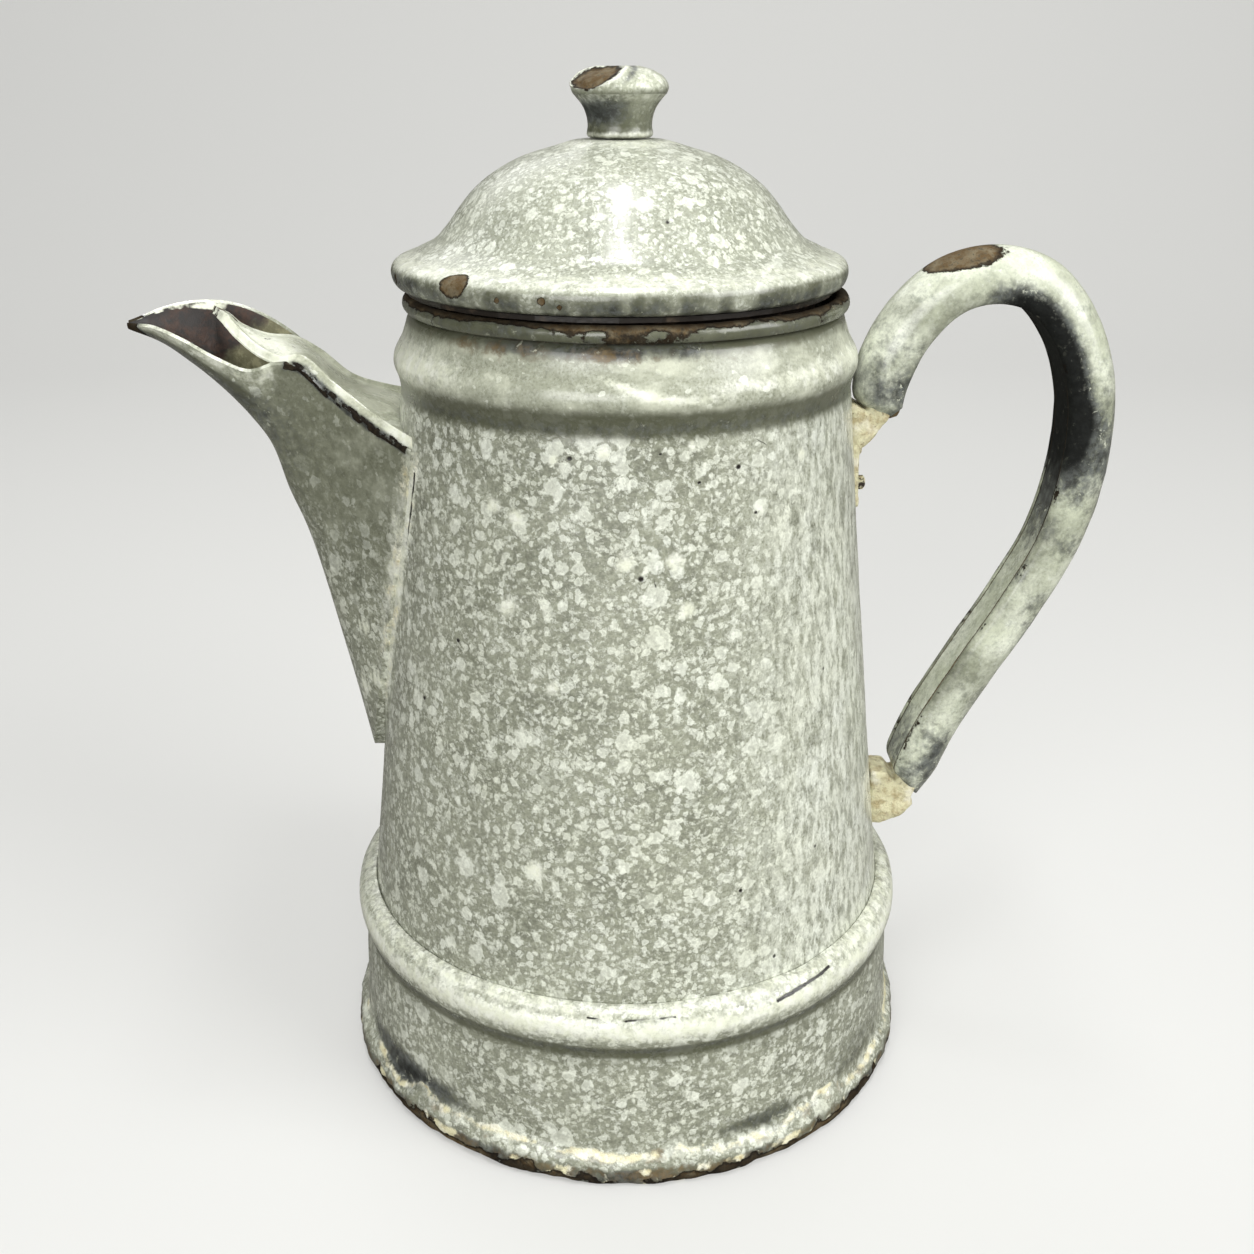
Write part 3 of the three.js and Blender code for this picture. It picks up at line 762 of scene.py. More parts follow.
def paint_rim(a, points, angle, z):
    """Brown streaks and painted shade under the rim, and the rim's worn curl, darkened partly by its brown
    glaze and partly by painted shade.
    """
    stained = facing(angle, -122, 20) + 0.8 * facing(angle, -93, 14)
    streaky = 0.6 + 0.8 * lumps(points * [1, 1, 0.25], 4, 23)
    a.rust = hump(z, 168.9, 3.0) * (0.25 + 1.0 * stained * streaky)
    # Painted shade under the rim at the front.
    a.dark += 1.5 * hump(z, 169.4, 2.2) * facing(angle, -100, 48) * (0.7 + 0.7 * lumps(points, 6, 27))
    from_axis = np.hypot(points[:, 0], points[:, 1])
    curl_turn = np.degrees(np.arctan2(z - RIM_Z, from_axis - RIM_R))
    on_rim = z > RIM_TOP - 3.4
    top_side = smooth(curl_turn, 15, 60)
    a.rust += np.where(on_rim, 0.1 + 0.5 * top_side, 0)
    # The curl's top is darker: its brown glaze, with painted shadow from the brim over it.
    a.dark += np.where(on_rim, 0.3 + 0.4 * top_side + 0.4 * lumps(points, 5, 24), 0)
    # Painted shade on the underside of the curl.
    a.shade += np.where(on_rim, 0.55 * smooth(curl_turn, 20, -60), 0)
    front = np.abs(turn_between(angle, -90))
    worn = -0.13 + 0.36 * top_side + 0.34 * lumps(points, 5, 21) + 0.18 * hump(front, 4, 16)
    a.chip = np.where(on_rim, worn, -1)
    inside = (from_axis < 43) & (z > 160)
    a.rust = np.where(inside, np.maximum(a.rust, 0.5), a.rust)


def body_shell():
    outline = body_outline()
    points, angle = turned_grid(outline, TURNS)
    z = points[:, 2].copy()
    out = radial(points)
    beyond_spout = np.abs(turn_between(angle, 180)) - spout_root_turn(z)
    root_low = smooth(z, SPOUT_FOOT_Z + 2, SPOUT_FOOT_Z + 22)
    beside_spout = root_low * smooth(z, SPOUT_TOP_Z + 3, SPOUT_TOP_Z - 3)
    welt = smooth(beyond_spout, 4.0, 1.2) * beside_spout
    points += out * (0.7 * smooth(beyond_spout, 3.2, 0) * beside_spout)[:, None]
    swell = 0.28 * lumps(points, 34, 3) + 0.1 * lumps(points, 11, 5)
    swell *= smooth(z, BAND_TOP - 6, BAND_TOP + 12)
    swell += 0.35 * lumps(points * [1, 1, 1.6], 22, 8) * hump(z, 164, 9)
    on_curl = smooth(z, RIM_TOP - 3.6, RIM_TOP - 2.6)
    swell += on_curl * 0.16 * lumps(points, 2.4, 9)
    points += out * swell[:, None]
    points[:, 2] += on_curl * 0.14 * lumps(points, 7, 12)

    a = blank(points)
    paint_wall(a, points, angle, z, welt)
    paint_rim(a, points, angle, z)
    material = granite_enamel("granite_body", crack_lines=body_cracks(), streaks=True)
    faces = ring_faces(TURNS, len(outline))
    make_piece("pot_body", points, faces, material, a, "body_shell")


def band_outline():
    """The folded foot, the lower band and the bead at its top."""
    line = curve_through(
        [(FOOT_R - 4.5, 0), (FOOT_R - 1.4, 0), (FOOT_R - 0.5, 0.35), (FOOT_R, 1.2), (FOOT_R, 3.6),
         (FOOT_R - 0.7, 5.8), (FOOT_R - 1.9, 7.2), (FOOT_R - 2.3, 8.6), (62.9, 24), (62.4, 31), (62.8, 32.6),
         (63.6, 34.6), (63.95, 36.8), (63.6, 39), (62.5, 40.6), (61.2, 41.5), (BODY_HIGH[0] - 1.4, BAND_TOP)],
        0.7)
    return sheet_outline(line, 0.8)


def band_cracks():
    """Dark slits where the bead's lip stands off the body."""
    lines = []
    for *ends, width in BEAD_CRACKS:
        radii = np.interp([z for _, z in ends], [39, 40.6, 41.5], [63.6, 62.5, 61.2])
        start, end = (on_wall(turn, z, r) for (turn, z), r in zip(ends, radii))
        lines.append((start, end, width))
    return lines


def paint_band(a, points, angle, z, undulate):
    """Cream bead brightened by a painted highlight, painted shade in the groove under it and by the foot, and
    the crusted, stained and rusted foot seam.
    """
    # The bead's crest: pale glaze, brightened further as a painted highlight.
    crest = hump(z, 37.8, 4.6)
    a.calm = 0.4 * crest
    a.cream = 0.85 * crest + 0.2 * crest * lumps(points, 14, 36)
    a.cream += 0.45 * smooth(z, 40.2, 41.2)
    # Painted shade in the groove under the bead.
    a.shade = 1.5 * hump(z, 32, 2.6) + 0.35 * hump(z, 29, 4)
    a.dark = 0.45 * hump(z, 32.4, 1.5)
    seam_z = z - undulate
    edge = hump(seam_z, 6.7, 2.5)
    ridge = lumps(points * [1, 1, 0], 20, 37)
    broken = lumps(points, 4, 39)
    a.crust = hump(seam_z, 6.9, 1.5) * (0.55 + 0.7 * ridge + 0.7 * broken)
    a.cream += edge * (0.35 + 0.5 * broken)
    a.rust = 0.85 * edge * smooth(lumps(points, 6, 40), 0.0, 0.5)
    # Painted shade by the foot at the left and right edges, and a little all round above the seam.
    left_shade = 1.3 * facing(angle, -140, 26) * hump(seam_z, 9.6, 5.5)
    right_shade = facing(angle, -63, 14) * hump(z, 9.8, 3.6)
    far_shade = facing(angle, -34, 18) * hump(z, 12, 8)
    a.shade += 1.0 * left_shade + 0.8 * right_shade + 0.6 * far_shade + 0.25 * hump(z, 9.6, 2.2)
    a.dark += 0.95 * left_shade + 0.6 * right_shade + 0.25 * far_shade
    below = smooth(z - 0.6 * undulate, 5.2, 3.6)
    patchy = 0.5 * lumps(points * [1, 1, 1.5], 10, 38) + 0.45 * lumps(points, 3, 42)
    a.chip = np.where(z < 6.8, -0.46 + 0.34 * below + 0.42 * smooth(z, 3.6, 1.2) + patchy, -1)
    a.crust += 0.8 * below * smooth(lumps(points, 4, 44), 0.1, 0.45)
    a.shade += 0.8 * below
    a.rust += 0.75 * below * (0.8 + 0.6 * lumps(points, 7, 45))
    a.dark += below * (0.6 + 0.8 * lumps(points * [1, 1, 2], 9, 47))


def base_band():
    steps = 540
    outline = band_outline()
    points, angle = turned_grid(outline, steps)
    z = points[:, 2].copy()
    out = radial(points)
    seam = smooth(z, 9.5, 6.5)
    rough = seam * (0.5 * lumps(points, 3.5, 31) + 0.5 * lumps(points * [1, 1, 2.5], 12, 32))
    rough += 0.2 * lumps(points, 30, 33) + 0.2 * hump(z, 37, 4) * lumps(points, 10, 34)
    points += out * rough[:, None]
    level = points * [1, 1, 0]
    undulate = (1.3 * lumps(level, 13, 35) + 0.5 * lumps(level, 3.5, 41)) * hump(z, 7.2, 4.5)
    points[:, 2] += undulate
    points[:, 2] = np.maximum(points[:, 2], 0.0)
    # The lip stands off the body in two short slits.
    lip = smooth(z, 40.6, 41.6)
    slit = facing(angle, -53, 7.5) + 0.7 * facing(angle, -86, 11)
    points += out * (lip * slit * 0.3)[:, None]

    a = blank(points)
    paint_band(a, points, angle, z, undulate)
    material = granite_enamel("granite_band", crack_lines=band_cracks())
    faces = ring_faces(steps, len(outline))
    make_piece("base_band_skin", points, faces, material, a, "base_band")


body_shell()
base_band()


# ---- spout -------------------------------------------------------

TIP_X, TIP_Z = SPOUT_LOW[0], 166.7
KEEL_POINTS = [
    (-58.6, 0, 70), (-62.9, 0, 93), (-69.2, 0, 122), (-72.6, 0, 131.5), (-75.4, 0, 141.5),
    (-79.6, 0, 148.2), (-84.3, 0, 153.7), (-89.6, 0, 158.6), (-95.6, 0, 163), (TIP_X, 0, TIP_Z - 0.9),
]
NEAR_ROOT = [(-42, -22.8, 145.6), (-50, -17.8, 149), (-60.3, -12, 155.2)]
FAR_ROOT = [(-42, 22.8, 145.6), (-50, 17.8, 148.2), (-60.3, 12, 152.4)]
NEAR_RIM = NEAR_ROOT + [
    (-66.5, -9.9, 160), (-71, -9.6, 160.2), (-76.5, -9.6, 158.8), (-82.5, -9.6, 161.2), (-89, -9, 164.8),
    (-95.5, -6, 166.9), (TIP_X, -0.7, TIP_Z),
]
FAR_RIM = FAR_ROOT + [
    (-66.5, 11.2, 158), (-71, 11.2, 162.6), (-76.5, 11.3, 166.3), (-82.5, 11.4, 168.8), (-89, 10.8, 169.7),
    (-95.5, 7.6, 169.3), (TIP_X, 0.7, TIP_Z + 0.3),
]
COVER_NEAR = NEAR_ROOT + [
    (-66.5, -9.9, 160.2), (-70.5, -8.6, 160.4), (-75, -6.2, 161.6), (-80, -3.2, 164.7), (-83.4, 0.2, 167.2),
    (-86.4, 4.8, 168.4),
]
COVER_FAR = FAR_ROOT + [
    (-66.5, 11, 157.8), (-70.5, 9.4, 161.6), (-75, 4.6, 163.2), (-80, 3.2, 165.1), (-84, 5.4, 167),
    (-88, 9.4, 168.4),
]
COVER_JOINED = 0.36  # share of the cover's length over which both its edges lie on the trough
TROUGH_SHEET = 1.4


def sampled(points, count):
    """count points along the curve through the given points, evenly spaced along it."""
    curve = curve_through(points, 0.5)
    lengths = np.concatenate([[0], np.cumsum(np.linalg.norm(np.diff(curve, axis=0), axis=1))])
    share = lengths / lengths[-1]
    t = np.linspace(0, 1, count)
    return np.column_stack([np.interp(t, share, curve[:, k]) for k in range(curve.shape[1])])


def by_station(points, t):
    """Curve through points placed at equal steps of t from 0 to 1."""
    dense = curve_through(points, 0.25)
    marks = [np.argmin(np.linalg.norm(dense - np.asarray(p), axis=1)) for p in points]
    position = np.interp(t, np.linspace(0, 1, len(points)), marks)
    index = np.arange(len(dense))
    return np.column_stack([np.interp(position, index, dense[:, k]) for k in range(dense.shape[1])])


def into_wall(ring, depth):
    """The ring's points moved along X until they lie a little inside the body's wall."""
    r = np.interp(ring[:, 2], [60, WALL_TOP_Z, 155, 158], [wall_radius(60), WALL_TOP_R, 46.7, 47.5]) - depth
    x = -np.sqrt(np.maximum(r**2 - ring[:, 1] ** 2, 1.0))
    return np.column_stack([np.maximum(x, ring[:, 0]), ring[:, 1], ring[:, 2]])


def loft(rows):
    """Points and faces of a tube through rings of equal count, closed at both ends."""
    count = rows.shape[1]
    faces = ring_faces(len(rows), count, closed_rings=False)
    faces.append(tuple(range(count))[::-1])
    faces.append(tuple((len(rows) - 1) * count + k for k in range(count)))
    return rows.reshape(-1, 3), faces


def trough_rings(stations, a):
    """The trough's outer and inner skins at each station, and its depth there.

    The angle a runs from the far rim through the keel at 0 to the near rim.
    """
    keel, near, far = (by_station(line, stations) for line in (KEEL_POINTS, NEAR_RIM, FAR_RIM))
    share = 1 - np.cos(a)
    across = share * (1 - TROUGH_BULGE) + np.abs(np.sin(a)) * TROUGH_BULGE
    outer, inner, depth = [], [], []
    for i, t in enumerate(stations):
        edge = np.where(a[:, None] > 0, near[i], far[i])
        tall = np.linalg.norm((edge - keel[i])[:, [0, 2]], axis=1)
        wide = np.abs(edge[:, 1]) + SPOUT_FLARE * math.exp(-t / 0.02)
        depth.append(tall.mean())
        skin = np.minimum(TROUGH_SHEET, np.minimum(wide * 0.55, tall * 0.4))
        for rows, inset in ((outer, 0 * skin), (inner, skin)):
            floor = inset * 1.3 / np.maximum(tall, 1)
            climb = floor + (1 - floor) * share
            x = keel[i, 0] + (edge[:, 0] - keel[i, 0]) * climb
            z = keel[i, 2] + (edge[:, 2] - keel[i, 2]) * climb
            y = np.where(a > 0, -1, 1) * np.maximum(wide - inset, 0.05) * across
            rows.append(np.column_stack([x, y, z]))
    outer = np.array([into_wall(outer[0], 0.6), *outer])
    inner = np.array([into_wall(inner[0], 0.6), *inner])
    return outer, inner, np.array([depth[0], *depth])


def paint_trough(p, points, t, edge, below_rim, inside, near_side):
    """Darkening up the trough, olive tone and painted shade on the near side, cream lips, the crusted root,
    the chipped seam and the worn tip.
    """
    x, _, z = points.T
    outside = 1 - inside
    mouth = smooth(t, 0.4, 0.5)
    p.calm = 0.1 + 0.8 * smooth(z, 112, 142)
    fillet = smooth(t, 0.06, 0.0) * smooth(z, 76, 110)
    p.crust = fillet * (0.3 + 0.6 * lumps(points, 5, 43))
    p.cream = fillet * (0.55 + 0.4 * lumps(points, 4, 46))
    near_lip = smooth(edge, 0.7, 0.86) * near_side * outside
    far_lip = smooth(edge, 0.8, 0.9) * (1 - near_side) * smooth(x, -82.5, -85)
    far_lip += 0.6 * smooth(edge, 0.97, 1.0) * (1 - near_side) * outside * smooth(x, -85, -82.5)
    p.cream += mouth * np.maximum(0.5 * near_lip, 0.5 * far_lip) * (1 + 1.2 * lumps(points, 3, 44))
    seam = smooth(below_rim, 1.5, 0.8) * smooth(t, 0.43, 0.37) * smooth(t, 0.0, 0.03) * near_side * outside
    p.dark = 0.25 * smooth(t, 0.1, 0.4) * smooth(edge, 0.95, 0.5) + 0.85 * seam
    # Olive tone with painted shade on the near side, deeper higher up; painted shade and a darker band low on
    # the near side towards the mouth.
    p.shade = (0.1 + 0.5 * smooth(z, 95, 140)) * near_side * (1 - mouth * smooth(edge, 0.5, 0.8))
    p.shade += 0.9 * smooth(edge, 0.75, 0.4) * smooth(t, 0.5, 0.6) * near_side
    p.dark += 0.4 * hump(edge, 0.3, 0.3) * smooth(t, 0.35, 0.5) * near_side
    p.cream += 0.9 * smooth(lumps(points, 8, 45), 0.25, 0.5) * smooth(z, 130, 105) * near_side
    tip = spot(points, (TIP_X + 1.0, 0, TIP_Z - 0.3), (4.6, 3, 3))
    p.chip = np.maximum(p.chip, tip)
    p.dark += 0.8 * (tip > -0.2)
    seam_chip = np.where(seam > 0.02, -0.36 + 0.4 * seam + 0.3 * lumps(points, 1.8, 42), -1)
    p.chip = np.maximum(p.chip, seam_chip)


def spout_body():
    stations = np.concatenate([np.linspace(0, 0.1, 26, endpoint=False), np.linspace(0.1, 1, 170)])
    even = np.linspace(-1, 1, 89)
    a = np.sign(even) * np.pi / 2 * (1 - (1 - np.abs(even)) ** 1.6)  # finer towards the rims
    outer, inner, depth = trough_rings(stations, a)
    lip = (outer[:, [0, -1]] + inner[:, [0, -1]]) / 2 + [0, 0, 0.5]
    # Each ring runs over the outside, over one lip, back over the inside, over the other lip.
    rows = np.concatenate([outer, lip[:, 1:2], inner[:, ::-1], lip[:, 0:1]], axis=1)
    points, faces = loft(rows)
    width = len(a)
    share = 1 - np.cos(a)
    t = np.repeat(np.concatenate([[0.0], stations]), rows.shape[1])
    inside = np.tile(np.concatenate([np.zeros(width + 1), np.ones(width), [0]]), len(rows))
    near_side = np.tile(np.concatenate([a > 0, [1], (a > 0)[::-1], [0]]), len(rows)).astype(float)
    edge = np.tile(np.concatenate([share, [1], share[::-1], [1]]), len(rows))
    below_rim = (1 - edge) * np.repeat(depth, rows.shape[1])
    away = points - (points * [1, 0, 1] + [0, 0, 5])
    away /= np.maximum(np.linalg.norm(away, axis=1), 1e-6)[:, None]
    points = points + away * (0.25 * lumps(points, 16, 41) * smooth(t, 0.02, 0.12))[:, None]

    p = blank(points)
    paint_trough(p, points, t, edge, below_rim, inside, near_side)
    material = granite_enamel("granite_spout", base=srgb(120, 122, 104), base_dark=srgb(96, 98, 84))
    piece = make_piece("spout_trough", points, faces, material, p, "spout_body")
    piece.data.materials.append(rusty_inside("spout_inside"))
    inner_face = [all(inside[v] for v in f.vertices) for f in piece.data.polygons]
    piece.data.polygons.foreach_set("material_index", [int(v) for v in inner_face])


def cover_rings(stations, u):
    """Rings of the cover plate, and how far each point lies on the step down to the trough.

    Across the plate u runs from -1 at the far edge to 1 at the near one. A ridge runs along each edge.
    """
    near, far = by_station(COVER_NEAR, stations), by_station(COVER_FAR, stations)
    tongue = smooth(stations, COVER_JOINED, COVER_JOINED + 0.15)
    middle = (near + far) / 2
    ahead = np.gradient(middle, axis=0)
    rows, flank_rows = [], []
    for i, t in enumerate(stations):
        across = (near[i] - far[i]) / 2
        half = np.linalg.norm(across)
        up = np.cross(ahead[i], across)
        up /= np.linalg.norm(up)
        edge_gap = half * (1 - np.abs(u))
        ridge = np.exp(-(((edge_gap - 0.9) / 0.7) ** 2)) * np.where(u > 0, 1.5, 0.9) * (1 - 0.75 * tongue[i])
        low = 0.8 * (1 - u**2) * 0.9 - 0.2
        thick = 1.2 - 0.6 * float(smooth(t, 0.85, 1))
        top = low + (thick + ridge) * (0.3 + 0.7 * smooth(edge_gap, 0, 0.6))
        base = middle[i] + u[:, None] * across
        rows.append(np.concatenate([base + top[:, None] * up, (base + low[:, None] * up)[::-1]]))
        flank = smooth(edge_gap, 0.42, 0.15) * (u > 0) * (1 - tongue[i])
        flank_rows.append(np.concatenate([flank, flank[::-1]]))
    return np.array([into_wall(rows[0], 0.6), *rows]), np.concatenate([flank_rows[0], *flank_rows])


def paint_cover(p, points, t, u, flank):
    """A cream ridge over a chipped dark step, and a tongue worn through along its middle."""
    p.calm = np.full(len(points), 0.95)
    crest = smooth(u, 0.72, 0.9) * (1 - flank)
    p.cream = 0.5 * smooth(t, 0.36, 0.46) + crest * (0.3 + 0.6 * lumps(points, 3, 58))
    p.cream += 0.6 * smooth(t, 0.14, 0.02) + 0.4 * hump(u, 0.3, 0.7) * lumps(points, 14, 56)
    p.crust = 0.45 * smooth(t, 0.08, 0.0)
    edge_chip = np.where(flank > 0.02, -0.22 + 0.22 * flank + 0.14 * lumps(points, 1.6, 53), -1)
    middle_worn = hump(u, -0.15, 0.5) * smooth(t, 0.5, 0.62)
    nose = -0.33 + 0.36 * middle_worn + 0.3 * smooth(t, 0.88, 0.97) + 0.4 * lumps(points, 3, 54)
    p.chip = np.maximum(edge_chip, nose)
    p.shade = 0.3 * smooth(u, 0.5, -0.6) * smooth(t, 0.4, 0.2)
    p.shade += 0.35 * smooth(t, 0.5, 0.6) * (0.5 + lumps(points, 5, 57))
    specks = crest * smooth(lumps(points, 1.6, 60), 0.1, 0.5)
    p.dark = 0.9 * flank + 0.35 * smooth(t, 0.86, 0.95) + 0.35 * specks


def spout_cover():
    stations = np.linspace(0, 1, 170)
    u = np.sin(np.linspace(-np.pi / 2, np.pi / 2, 81))
    rows, flank = cover_rings(stations, u)
    points, faces = loft(rows)
    u_all = np.tile(np.concatenate([u, u[::-1]]), len(rows))
    t = np.repeat(np.concatenate([[0.0], stations]), rows.shape[1])
    roughness = 0.16 * lumps(points, 10, 51) + flank * 0.35 * lumps(points, 1.8, 52)
    roughness += 0.25 * smooth(t, 0.5, 0.7) * lumps(points, 4, 55)
    points = points + np.array([0, 0, 1.0]) * roughness[:, None]
    p = blank(points)
    paint_cover(p, points, t, u_all, flank)
    material = granite_enamel("granite_cover", base=srgb(180, 183, 158), base_dark=srgb(150, 153, 128))
    make_piece("spout_cover_plate", points, faces, material, p, "spout_cover")


spout_body()
spout_cover()


# ---- handle ------------------------------------------------------

HANDLE_WIDTH = HANDLE_HIGH[1] - HANDLE_LOW[1]
HANDLE_DEPTH = 11.0
HANDLE_MOUTH = 9.6
HANDLE_STEPS = 420
HANDLE_POINTS = [
    (51.2, 143), (53, 157), (58.6, 168.4), (66.5, 175.3), (76, 177.2), (85, 174.4), (92.6, 165.5), (97, 153),
    (97.5, 138), (94.3, 121), (87.4, 105.6), (78.6, 89.6), (71.4, 75.6), (67.4, 64.6), (65.2, 54.5),
]
UPPER_CUT = ((40, 153.4), (60.5, 146.2))
LOWER_CUT = ((61.5, 64), (68.5, 56))
END_EASE, END_NARROW = 3.0, 0.3  # length over which an end rounds in, and by what share
# Radius of the shoulder and the neck at heights behind the handle's upper end.
SHOULDER_Z = [145, 149, 155, 157.8, 160, 163, 165.8, 168]
SHOULDER_R = [47.7, 47.2, 46.7, 47.3, 47.75, 47.2, 45.7, 44.9]


def handle_frames(count):
    path = sampled(HANDLE_POINTS, count)
    tangent = np.gradient(path, axis=0)
    tangent /= np.linalg.norm(tangent, axis=1)[:, None]
    outward = np.column_stack([-tangent[:, 1], tangent[:, 0]])
    return path, tangent, outward


def side_of(points, line):
    (x0, z0), (x1, z1) = line
    return (x1 - x0) * (points[..., 2] - z0) - (z1 - z0) * (points[..., 0] - x0)


def trim_rows(rows, path, tangents):
    """Drops rows past the slanted ends, slides the end rows onto the cuts and rounds both ends in."""
    keep_upper = side_of(rows, UPPER_CUT) > 0
    keep_lower = side_of(rows, LOWER_CUT) > 0
    first = next(i for i in range(len(rows)) if keep_upper[i].all())
    last = next(i for i in range(len(rows) - 1, 0, -1) if keep_lower[i].all())
    kept = rows[first : last + 1].copy()
    kept_path = np.insert(path[first : last + 1], 1, 0, axis=1)
    ends = ((kept[0], UPPER_CUT, tangents[first]), (kept[-1], LOWER_CUT, tangents[last]))
    for ring, line, direction in ends:
        (x0, z0), (x1, z1) = line
        normal = np.array([-(z1 - z0), x1 - x0])
        gap = (ring[:, [0, 2]] - [x0, z0]) @ normal / (direction @ normal)
        ring[:, 0] -= gap * direction[0]
        ring[:, 2] -= gap * direction[1]
    half = len(kept) // 2
    for line, part in ((UPPER_CUT, slice(0, half)), (LOWER_CUT, slice(half, None))):
        (x0, z0), (x1, z1) = line
        from_cut = np.abs(side_of(kept[part], line)) / math.hypot(x1 - x0, z1 - z0)
        near = np.clip(1 - from_cut / END_EASE, 0, 1)
        pull = END_NARROW * (1 - np.sqrt(1 - near**2))
        kept[part] -= (kept[part] - kept_path[part, None]) * pull[..., None]
    return kept


def swept(outline):
    """The outline, in (across, outward), carried along the handle and narrowed at both ends."""
    path, tangent, outward = handle_frames(HANDLE_STEPS)
    station = np.linspace(0, 1, HANDLE_STEPS)
    narrow = 1 - 0.1 * smooth(station, 0.09, 0.03) - 0.16 * smooth(station, 0.93, 0.99)
    rows = []
    for p, n, size in zip(path, outward, narrow):
        across = outline[:, 0] * size
        out = (outline[:, 1] + HANDLE_DEPTH / 2) * size - HANDLE_DEPTH / 2
        rows.append(np.column_stack([p[0] + out * n[0], across, p[1] + out * n[1]]))
    return trim_rows(np.array(rows), path, tangent)


def channel_outline():
    """The round-backed section, with its mouth towards the pot."""
    r = HANDLE_WIDTH / 2
    inner = -HANDLE_DEPTH / 2
    lip_x = HANDLE_MOUTH / 2
    half = [(lip_x, inner), (lip_x + 1.1, inner + 0.1), (r - 0.35, inner + 0.9), (r, inner + 2.2)]
    back = arc(0, HANDLE_DEPTH / 2 - r, r, 0, 180, 40)
    right = curve_through([*half, tuple(back[0])], 0.5)[:-1]
    left = right[::-1] * [-1, 1]
    return sheet_outline(np.vstack([right, back, left]), 1.0)


def paint_channel(a, points, along, outward):
    """Painted shade inside the arch and on the side facing the pot, dark patches with painted shadow at both
    ends, clouds along both runs, and bare metal on top.
    """
    inward = smooth(outward, -1.5, -HANDLE_DEPTH / 2 + 0.3)
    mouth = smooth(outward, -HANDLE_DEPTH / 2 + 1.3, -HANDLE_DEPTH / 2 + 0.3)
    # Dark patches at both ends, deepened as painted shadow.
    a.dark = 1.1 * smooth(along, 0.13, 0.02) * (0.55 + 0.9 * lumps(points, 11, 63))
    a.dark += 1.1 * smooth(along, 0.88, 0.97) * (0.5 + 1.0 * lumps(points, 8, 64))
    a.dark += 0.85 * hump(along, 0.46, 0.17) * smooth(lumps(points * [1, 1, 0.6], 12, 65), -0.4, 0.4)
    a.dark += 0.5 * hump(along, 0.78, 0.12) * smooth(lumps(points, 9, 69), 0.0, 0.5)
    # Painted shade, black where deepest, on the inside of the arch.
    arch_inside = smooth(-outward, -1.0, 4.2)
    a.dark += 1.9 * arch_inside * smooth(along, 0.17, 0.29) * smooth(along, 0.6, 0.42)
    mottled = smooth(lumps(points, 6, 59), -0.1, 0.5)
    a.dark += 0.42 * mottled * smooth(along, 0.42, 0.5) * smooth(along, 0.95, 0.8)
    a.dark += 1.3 * spot(points, (82.4, -6.5, 86), (2.2, 2.2, 1.8)).clip(0)
    a.dark += 1.2 * spot(points, (98.6, -6.5, 160.5), (1.5, 2, 1.7)).clip(0)
    a.shade = 0.24 + 0.45 * lumps(points, 10, 66) + 0.08 * smooth(along, 0.4, 0.5)
    # Painted shade on the side that faces the pot.
    a.shade += 0.5 * inward * (0.5 + 0.5 * hump(along, 0.4, 0.25))
    a.cream = 0.2 * hump(along, 0.3, 0.2) * (1 - inward)
    bare = spot(points, (67.0, -1.6, 180.4), (10.5, 5.0, 3.6))
    a.chip = np.maximum(bare, -0.6 + 0.52 * mouth + 0.2 * lumps(points, 3, 67))


def handle_channel():
    outline = channel_outline()
    rows = swept(outline)
    points, faces = loft(rows)
    # The tube's back rests on the shoulder and doesn't pass through it.
    wall = np.interp(points[:, 2], SHOULDER_Z, SHOULDER_R) - 0.3
    at_shoulder = (points[:, 2] < 169) & (points[:, 2] > 140)
    push = np.where(at_shoulder, np.maximum(wall - np.hypot(points[:, 0], points[:, 1]), 0), 0)
    points = points + radial(points) * push[:, None]
    points += radial(points) * (0.2 * lumps(points, 12, 61) + 0.06 * lumps(points, 4, 62))[:, None]
    along = np.repeat(np.linspace(0, 1, len(rows)), len(outline))
    a = blank(points)
    paint_channel(a, points, along, np.tile(outline[:, 1], len(rows)))
    material = pale_enamel("handle_enamel")
    make_piece("handle_tube", points, faces, material, a, "handle_channel")


def handle_strip():
    half = HANDLE_MOUTH / 2 - 0.25
    inner = -HANDLE_DEPTH / 2 + 0.15
    line = np.column_stack([np.linspace(-half, half, 20), np.full(20, inner)])
    outline = sheet_outline(line, 0.9)
    rows = swept(outline)
    points, faces = loft(rows)
    along = np.repeat(np.linspace(0, 1, len(rows)), len(outline))
    side = np.tile(np.abs(outline[:, 0]), len(rows))
    a = blank(points)
    # Painted shade on the strip, black where deepest inside the arch; dark patches with painted shadow at the
    # lower end.
    a.shade = 0.35 + 0.8 * hump(along, 0.45, 0.28)
    a.dark = 1.9 * smooth(along, 0.17, 0.29) * smooth(along, 0.74, 0.42) + 0.6 * smooth(along, 0.88, 0.97)
    a.chip = -0.5 + 0.8 * smooth(side, half - 0.9, half - 0.2) + 0.12 * lumps(points, 3, 68)
    material = pale_enamel("strip_enamel")
    make_piece("handle_inner_plate", points, faces, material, a, "handle_inner_strip")


handle_channel()
handle_strip()


# ---- brackets and rivets -----------------------------------------

BRACKET_WIDTH = 9.4
# Outlines in the XZ plane.
UPPER_BRACKET = [
    (46.4, 129.2), (49.9, 128.6), (49.2, 141), (52.6, 144.4), (54.6, 147.4), (56.4, 152.4), (52.4, 153.6),
    (50.4, 149.4), (46.4, 151.4),
]
LOWER_BRACKET = [
    (57, 50.4), (60.6, 50.8), (64.6, 52.4), (67.7, 55.7), (66.8, 57.2), (68.9, 63.6), (64.9, 65),
    (62.8, 61.9), (61, 64), (57, 64.2),
]


